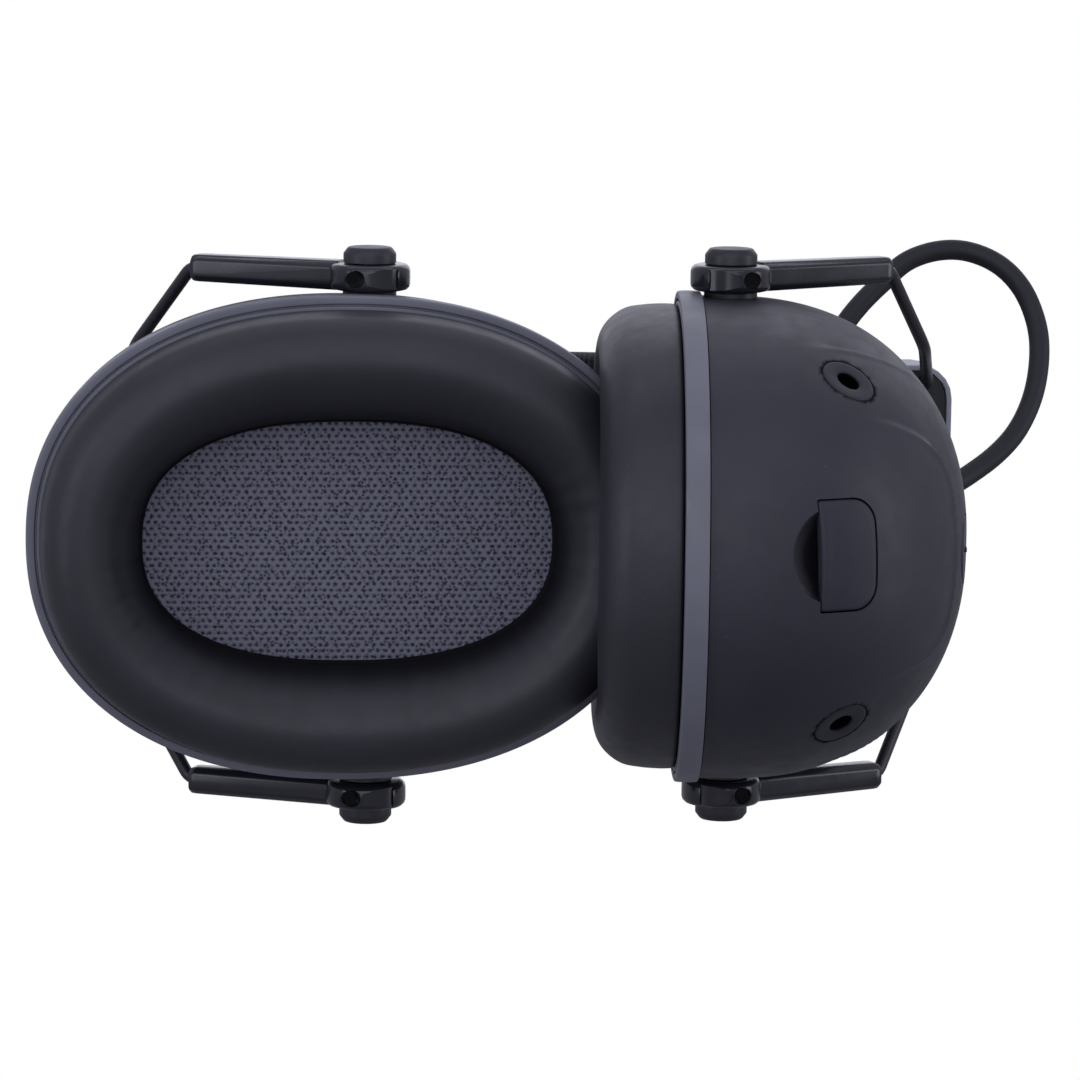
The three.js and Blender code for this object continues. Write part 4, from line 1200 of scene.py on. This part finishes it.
def build_arm(side, sign, where, end, bend):
    up = np.array([-sign * SLOPE_SIN, 0, SLOPE_COS])
    bar = loft([arm_point(sign, end, distance) + ARM_SECTION[:, :1] * half_height * up
                + ARM_SECTION[:, 1:2] * half_width * FORWARD
                for distance, half_height, half_width in ARM_STATIONS])
    pivot = np.array([sign * PIVOT_X, end * ARM_Y, 0.0])
    tip = arm_point(sign, end, ARM_LENGTH)
    eye = in_band(turned(ARM_EYE, pivot, FORWARD, 72))
    arm = make(f"{side}_{where}_arm", eye, "arm_plastic", 32)
    boolean(arm, "UNION", cutter(in_band(bar)))

    # the panel is cut only skin deep, where it meets a thin tube round the eye
    prism = loft([np.stack([sign * ARM_PANEL[:, 0] + pivot[0], ARM_PANEL[:, 1] + pivot[1],
                            np.full(len(ARM_PANEL), z)], -1) for z in (-8.2, -3.0)])
    panel = cutter(in_band(prism))
    skin_tube = turned([(6.82, -2.2), (8.4, -2.2), (8.4, 2.2), (6.82, 2.2)], pivot, FORWARD, 72,
                       ring=True)
    boolean(panel, "INTERSECT", cutter(in_band(skin_tube)))
    boolean(arm, "DIFFERENCE", panel)

    pin_hole = [(0, -4), (3.45, -4), (3.2, -2.0), (3.2, 2.0), (3.45, 4), (0, 4)]
    socket = [arm_point(sign, end, ARM_LENGTH + step) for step in (-14.6, -6, -0.8, 3)]
    flare = [(0, -0.4), (WIRE_RADIUS + 0.45, -0.4), (WIRE_RADIUS + 0.7, 4), (0, 4)]
    small_hole = [(0, 3.4), (1.35, 3.4), (1.35, 6.05), (1.55, 6.3), (2.4, 8.2), (0, 8.2)]
    small_at = pivot + np.array([sign * 3.2, 0, 0])
    cuts = [turned(pin_hole, pivot, FORWARD, 48), tube(socket, WIRE_RADIUS + 0.3),
            turned(flare, tip, unit(bend - tip), 20),
            turned(small_hole, small_at, (0, 0, -1), 32)]
    combine(arm, "DIFFERENCE", [in_band(shape) for shape in cuts], angle=32)
    points = coords(arm.data) / MM + np.array([0, 0, CROWN]) - small_at
    mark(arm, "shade", (np.hypot(points[:, 0], points[:, 1]) < 1.42)
         & (points[:, 2] < -3.0) & (points[:, 2] > -6.12))
    show(arm, side + "_yoke", "arm_plastic", f"{side}_{where}_yoke_arm")


for side, sign in SIGN.items():
    for where, end in ENDS:
        bend = build_wire(side, sign, where, end)
        build_arm(side, sign, where, end, bend)


# ------------------------------------------------------------------ headband
def arch(t, span, rise):
    """(x, z) of an arch for t in 0..pi; each unit of t beyond is one straight tail."""
    on_arch = np.clip(t, 0.0, math.pi)
    x = signed_power(np.cos(on_arch), 2 / ARCH_POWER)
    return np.stack([np.where(x < 0, span - LEFT_INSET, span) * x,
                     ARCH_FOOT_Z + rise * np.abs(np.sin(on_arch)) ** (2 / ARCH_POWER)
                     - np.abs(t - on_arch) * (ARCH_FOOT_Z - TAIL_END_Z)], -1)


def arch_band(name, inner, outer, section, look, angle, overrun=1.0, steps=240, ribs=None,
              round_ends=0.0):
    """Sweep a closed (y, k) section; k is 0 at the inner arch and 1 at the outer one."""
    t = np.linspace(-overrun, math.pi + overrun, 4000)
    middle = (arch(t, *inner) + arch(t, *outer)) / 2
    length = np.concatenate([[0], np.cumsum(np.linalg.norm(np.diff(middle, axis=0), axis=1))])
    total = length[-1]
    stations = np.linspace(0, total, steps)
    if round_ends:
        ease = round_ends * np.linspace(0, 1, 7)[1:-1]
        stations = np.unique(np.concatenate([stations, ease, total - ease]))
    station_t = np.interp(stations, length, t)
    inner_line, outer_line = arch(station_t, *inner), arch(station_t, *outer)
    section = np.asarray(section, float)
    mid_y, mid_k = (section.max(0) + section.min(0)) / 2
    half_width = abs(section[:, 0]).max()
    rings = []
    for low, high, along in zip(inner_line, outer_line, stations):
        y, k = section.T.copy()
        if ribs is not None:
            k = k + ribs(y, k, along)
        if round_ends:
            part = min(along, total - along) / round_ends
            if part < 1:
                full = math.sqrt(max(0.0, 1 - (1 - part) ** 2))
                k = mid_k + (k - mid_k) * (0.25 + 0.75 * full)
                y = mid_y + (y - mid_y) * (1 - (1 - full) * round_ends * 0.6 / half_width)
        point = low * (1 - k)[:, None] + high * k[:, None]
        rings.append(np.stack([point[:, 0], y, point[:, 1]], -1))
    return make(name, in_band(loft(rings)), look, angle)


def band_line(span, over_spring):
    """Half span and rise of an arch; the rise is set at the segment joint nearest the top."""
    joint = math.sin(math.pi * (ARCH_SEGMENTS - 1) / 2 / ARCH_SEGMENTS) ** (2 / ARCH_POWER)
    return span, (SPRING_RISE + over_spring) / joint


def mirrored(half):
    """(y, k) points that end at y = 0, continued on the other side."""
    return half + [(-y, k) for y, k in half[-2::-1]]


def rounded_section(half_width, corner_y, corner_k, steps=4):
    """Rounded rectangle in (y, k) with its own corner size in each direction."""
    right, top = half_width - corner_y, 1 - corner_k
    out = []
    for y, k, start in ((right, top, 0), (-right, top, 90), (-right, corner_k, 180),
                        (right, corner_k, 270)):
        for j in range(steps + 1):
            angle = math.radians(start + 90 * j / steps)
            out.append((y + corner_y * math.cos(angle), k + corner_k * math.sin(angle)))
    return out


def pad_inner_k(y):
    """Crowned middle, a fine bead, and lower strips along both edges."""
    off = abs(y)
    if off > 14.45:
        return float(0.20 + 0.30 * smooth01((off - 16.6) / 0.9))
    if off > 13.7:
        return 0.075
    return float(0.02 + 0.10 * smooth01((off - 8.0) / 5.7) + (0.05 if off > 13.3 else 0))


def pad_ribs(y, k, along, height=0.17, pitch=1.05):
    """Cross ribs on the edge strips, weaker at the very edge."""
    strip = (np.abs(y) > 14.6) & (k < 0.6)
    wave = height * (0.5 - 0.5 * math.cos(2 * math.pi * along / pitch))
    return -np.where(strip, wave, 0.0) * np.where(np.abs(y) > 17.3, 0.4, 1.0)


pad_section = mirrored([(y, pad_inner_k(y)) for y in (
    -17.5, -17.1, -16.5, -15.9, -15.3, -14.8, -14.5, -14.3, -14.05, -13.8, -13.4, -12.0, -9.0,
    -5.0, 0.0)])
pad_section += mirrored([(17.5, 0.75), (17.2, 0.95), (16.4, 1.0), (8.0, 1.0), (0.0, 1.0)])
pad = arch_band("pad", band_line(67.4, -SPRING_OVER_PAD), band_line(71.9, -0.8), pad_section,
                "pad_elastomer", angle=50, overrun=-math.pi / ARCH_SEGMENTS,
                steps=1050, ribs=pad_ribs, round_ends=2.4)
show(pad, "headband", "pad_elastomer", "headband_pad")

carrier = arch_band("band_carrier", band_line(73.6, 0.8), band_line(78.2, 3.7),
                    rounded_section(15.2, corner_y=0.7, corner_k=0.16), "frame_plastic",
                    angle=40)
show(carrier, "headband", "frame_plastic", "headband_carrier")

# the cover has two fine grooves along it
cover_edge = rounded_section(15.8, corner_y=0.6, corner_k=0.42)
cover_top = mirrored([(y, 1.0 - (0.38 if 11.85 < y < 12.25 else 0.0))
                      for y in (14.4, 12.4, 12.3, 12.2, 11.9, 11.8, 11.7, 6, 0)])
cover = arch_band("band_cover", band_line(78.5, 4.0), band_line(79.5, 5.5),
                  cover_edge[:5] + cover_top + cover_edge[5:], "trim_plastic", angle=30)
show(cover, "headband", "trim_plastic", "headband_cover")

# ------------------------------------------------------------------ cables
# Band-frame points from near the gland to near the band
CABLE_RUN = {
    "right": [
        (76.2, -3.8, 28.4), (80.9, -6.2, 32), (86.4, -9.5, 35), (91.0, -13.6, 38),
        (94.8, -19.9, 42), (96.6, -27.1, 46), (96.5, -32.6, 49), (94.1, -39.0, 52),
        (89.9, -43.3, 54), (83.9, -45.6, 56), (78.2, -45.5, 56), (72.4, -43.5, 55),
        (68.5, -40.2, 54), (64.0, -36.3, 52), (60.0, -31.6, 50), (58.0, -26.6, 48.8),
        (60.2, -22.2, 49.6), (64.4, -19.9, 52.8)],
    "left": [
        (-5.0, -3.2, 43), (-7.5, -8, 49), (-14, -15.5, 53.5), (-24, -23.5, 56),
        (-34, -28.5, 55.5), (-43, -31, 53), (-50, -30.2, 50.2), (-54, -26.6, 48.8),
        (-55.6, -22.4, 49.8), (-58.4, -20.0, 52.8)]}
# Band-frame points between which the cable would pass from following the cup to the yoke; they are
# read below but not used
CABLE_BLEND = {"right": ((0, 0, 29), (0, 0, 54)), "left": ((-7, 0, 50), (-55, 0, 50))}

for side, sign in SIGN.items():
    root = [cup_to_band(side, EXIT + distance * EXIT_NORMAL) for distance in (-2.5, 5.5)]
    tail = [(band_x(sign, GUIDE_X - 0.2), GUIDE_Y, 57.4), (band_x(sign, GUIDE_X), GUIDE_Y, 60.6),
            (band_x(sign, GUIDE_X), GUIDE_Y, 69)]
    path = resample(catmull(root + CABLE_RUN[side] + tail, 14), 1.1)
    for _ in range(2):
        path[2:-2] = 0.25 * path[1:-3] + 0.5 * path[2:-2] + 0.25 * path[3:-1]
    lead = make(side + "_lead", in_band(tube(path, CABLE_RADIUS)), "cable_jacket", 60)
    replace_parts(lead, side + "_cable")
    start, end = CABLE_BLEND[side]
    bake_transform(lead)

# ------------------------------------------------------------------ CAD nodes that stay
# They get rounded edges (width in mm, by part of the name) and full materials.
BEVEL = dict(spring_screw=0.12, slider_cover=0.2, slider_block=0.35, cable_guide=0.18,
             headband_spring=0.12)


def dress_node(name, ob, slot):
    mesh = ob.data
    mesh.materials.clear()
    # the slider cover takes the lit copy of the trim plastic, painted light
    mesh.materials.append(LOOKS["slider_cover_lit_plastic" if "slider_cover" in name else slot])
    custom = mesh.attributes.get("custom_normal")
    if custom is not None:
        mesh.attributes.remove(custom)
    mesh.polygons.foreach_set("use_smooth", [True] * len(mesh.polygons))
    ob.modifiers.new("weld", "WELD").merge_threshold = 2e-6
    bevel = ob.modifiers.new("edge", "BEVEL")
    bevel.width = next((width for key, width in BEVEL.items() if key in name), 0.2) * MM
    bevel.segments = 3
    bevel.limit_method = "ANGLE"
    bevel.angle_limit = math.radians(40)
    bevel.use_clamp_overlap = True
    bevel.harden_normals = False
    ob.modifiers.new("normals", "WEIGHTED_NORMAL").keep_sharp = True


replaced = {node for ob in bpy.data.objects if "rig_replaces" in ob for node in ob["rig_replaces"]}
slots = {part["node"]: part["material_slot"] for part in frame["record"]["subparts"]}
for name, ob in frame["nodes"].items():
    if name not in replaced:
        dress_node(name, ob, slots[name])


# ------------------------------------------------------------------ floor
def build_floor(half=4.0, gap=0.012):
    """A floor below the product, clear from underneath, where the camera is."""
    material = bpy.data.materials.new("floor")
    material.use_nodes = True
    tree = material.node_tree
    bsdf = find_node(tree, "BSDF_PRINCIPLED")
    feed(tree, bsdf.inputs["Base Color"], (0.86, 0.86, 0.86))
    feed(tree, bsdf.inputs["Roughness"], 0.9)
    mixed = add_node(tree, "MixShader", {
        0: add_node(tree, "NewGeometry").outputs["Backfacing"],
        1: bsdf.outputs[0],
        2: add_node(tree, "BsdfTransparent").outputs[0]})
    feed(tree, find_node(tree, "OUTPUT_MATERIAL").inputs["Surface"], mixed.outputs[0])
    mesh = bpy.data.meshes.new("floor")
    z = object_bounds()[0].z - gap
    corners = [(-half, -half, z), (half, -half, z), (half, half, z), (-half, half, z)]
    mesh.from_pydata(corners, [], [(0, 1, 2, 3)])
    mesh.materials.append(material)
    floor = bpy.data.objects.new("floor", mesh)
    bpy.context.scene.collection.objects.link(floor)
    floor.visible_shadow = False
    floor.visible_diffuse = False
    floor.visible_glossy = False
    floor.visible_transmission = False


# ------------------------------------------------------------------ light
COOL = (0.95, 0.965, 1.10)
# Backdrop brightness: position from +y (0) to -y (1), value
SKY = ((0.0, 0.15), (0.30, 0.24), (0.5, 0.36), (0.72, 0.40), (1.0, 0.36))
LIGHT_CENTRE = Vector((0.012, 0, -0.12))
# name, direction from the centre to the light, distance, width, height (m), power (W)
LIGHTS = (
    ("key", (-0.10, -1.0, -0.62), 1.1, 1.3, 0.35, 1.0),
    ("left", (-1.0, -0.25, -0.55), 1.1, 0.9, 0.4, 1.6),
    ("right", (1.0, -0.2, -0.25), 1.1, 0.9, 0.4, 2.0),
    ("camera_fill", (-0.15, -0.35, -1.0), 1.5, 1.2, 1.2, 4.2),
    ("strip", (0.0, -1.0, 0.23), 1.0, 1.4, 0.06, 0.75),
    ("overhead", (0.2, -0.4, 1.0), 1.2, 1.2, 1.2, 3.0))


def build_world():
    """A soft gradient lights the product; the camera sees plain white."""
    world = bpy.data.worlds.new("studio")
    bpy.context.scene.world = world
    world.use_nodes = True
    tree = world.node_tree
    direction = add_node(tree, "TexCoord").outputs["Generated"]
    y = add_node(tree, "SeparateXYZ", {0: direction}).outputs["Y"]
    along = add_node(tree, "MapRange", {"From Min": 1.0, "From Max": -1.0, "Value": y})
    ramp = add_node(tree, "ValToRGB", {0: along.outputs[0]})
    ramp.color_ramp.interpolation = "B_SPLINE"
    elements = ramp.color_ramp.elements
    for position, _ in SKY[1:-1]:
        elements.new(position)
    for element, (position, value) in zip(elements, SKY):
        element.position = position
        element.color = (*[value * k for k in COOL], 1)
    sky = find_node(tree, "BACKGROUND")
    feed(tree, sky.inputs["Color"], ramp.outputs[0])
    feed(tree, sky.inputs["Strength"], 1.0)
    white = add_node(tree, "Background", {"Color": (1, 1, 1), "Strength": 1.0})
    mixed = add_node(tree, "MixShader", {
        0: add_node(tree, "LightPath").outputs["Is Camera Ray"],
        1: sky.outputs[0],
        2: white.outputs[0]})
    feed(tree, find_node(tree, "OUTPUT_WORLD").inputs["Surface"], mixed.outputs[0])


def area_light(name, direction, distance, width, height, power):
    light = bpy.data.lights.new(name, "AREA")
    light.shape, light.size, light.size_y = "RECTANGLE", width, height
    light.energy, light.color = power, COOL
    ob = bpy.data.objects.new(name, light)
    direction = Vector(direction).normalized()
    ob.location = LIGHT_CENTRE + direction * distance
    ob.rotation_mode = "QUATERNION"
    ob.rotation_quaternion = (-direction).to_track_quat("-Z", "Y")
    bpy.context.scene.collection.objects.link(ob)


# ------------------------------------------------------------------ camera
# Below the product, looking up along +z with -y at the top of the view
VIEW_OFFSET = (1.31, -0.80, 900.0)         # pivot-line origin seen from the camera, mm
VIEW_PITCH, VIEW_YAW, VIEW_ROLL = [math.radians(angle) for angle in (8.46, 5.83, -0.10)]


def build_camera():
    cos, sin = math.cos, math.sin
    pitch = np.array([[1, 0, 0], [0, cos(VIEW_PITCH), -sin(VIEW_PITCH)],
                      [0, sin(VIEW_PITCH), cos(VIEW_PITCH)]])
    yaw = np.array([[cos(VIEW_YAW), 0, -sin(VIEW_YAW)], [0, 1, 0],
                    [sin(VIEW_YAW), 0, cos(VIEW_YAW)]])
    roll = np.array([[cos(VIEW_ROLL), -sin(VIEW_ROLL), 0], [sin(VIEW_ROLL), cos(VIEW_ROLL), 0],
                     [0, 0, 1]])
    view = roll @ yaw @ pitch              # rows: right, down and ahead in the view
    eye = place_band(-view.T @ np.array(VIEW_OFFSET))
    data = bpy.data.cameras.new("camera")
    data.sensor_width = 36.0
    data.lens = 170.0
    data.clip_start, data.clip_end = 0.01, 20
    camera = bpy.data.objects.new("camera", data)
    bpy.context.scene.collection.objects.link(camera)
    turn = Matrix(np.stack([view[0], -view[1], -view[2]], -1).tolist())
    camera.matrix_world = Matrix.Translation(Vector(eye)) @ turn.to_4x4()
    bpy.context.scene.camera = camera


build_floor()
build_world()
for light in LIGHTS:
    area_light(*light)
build_camera()
bpy.context.scene.view_settings.view_transform = "Standard"
bpy.context.scene.view_settings.look = "None"
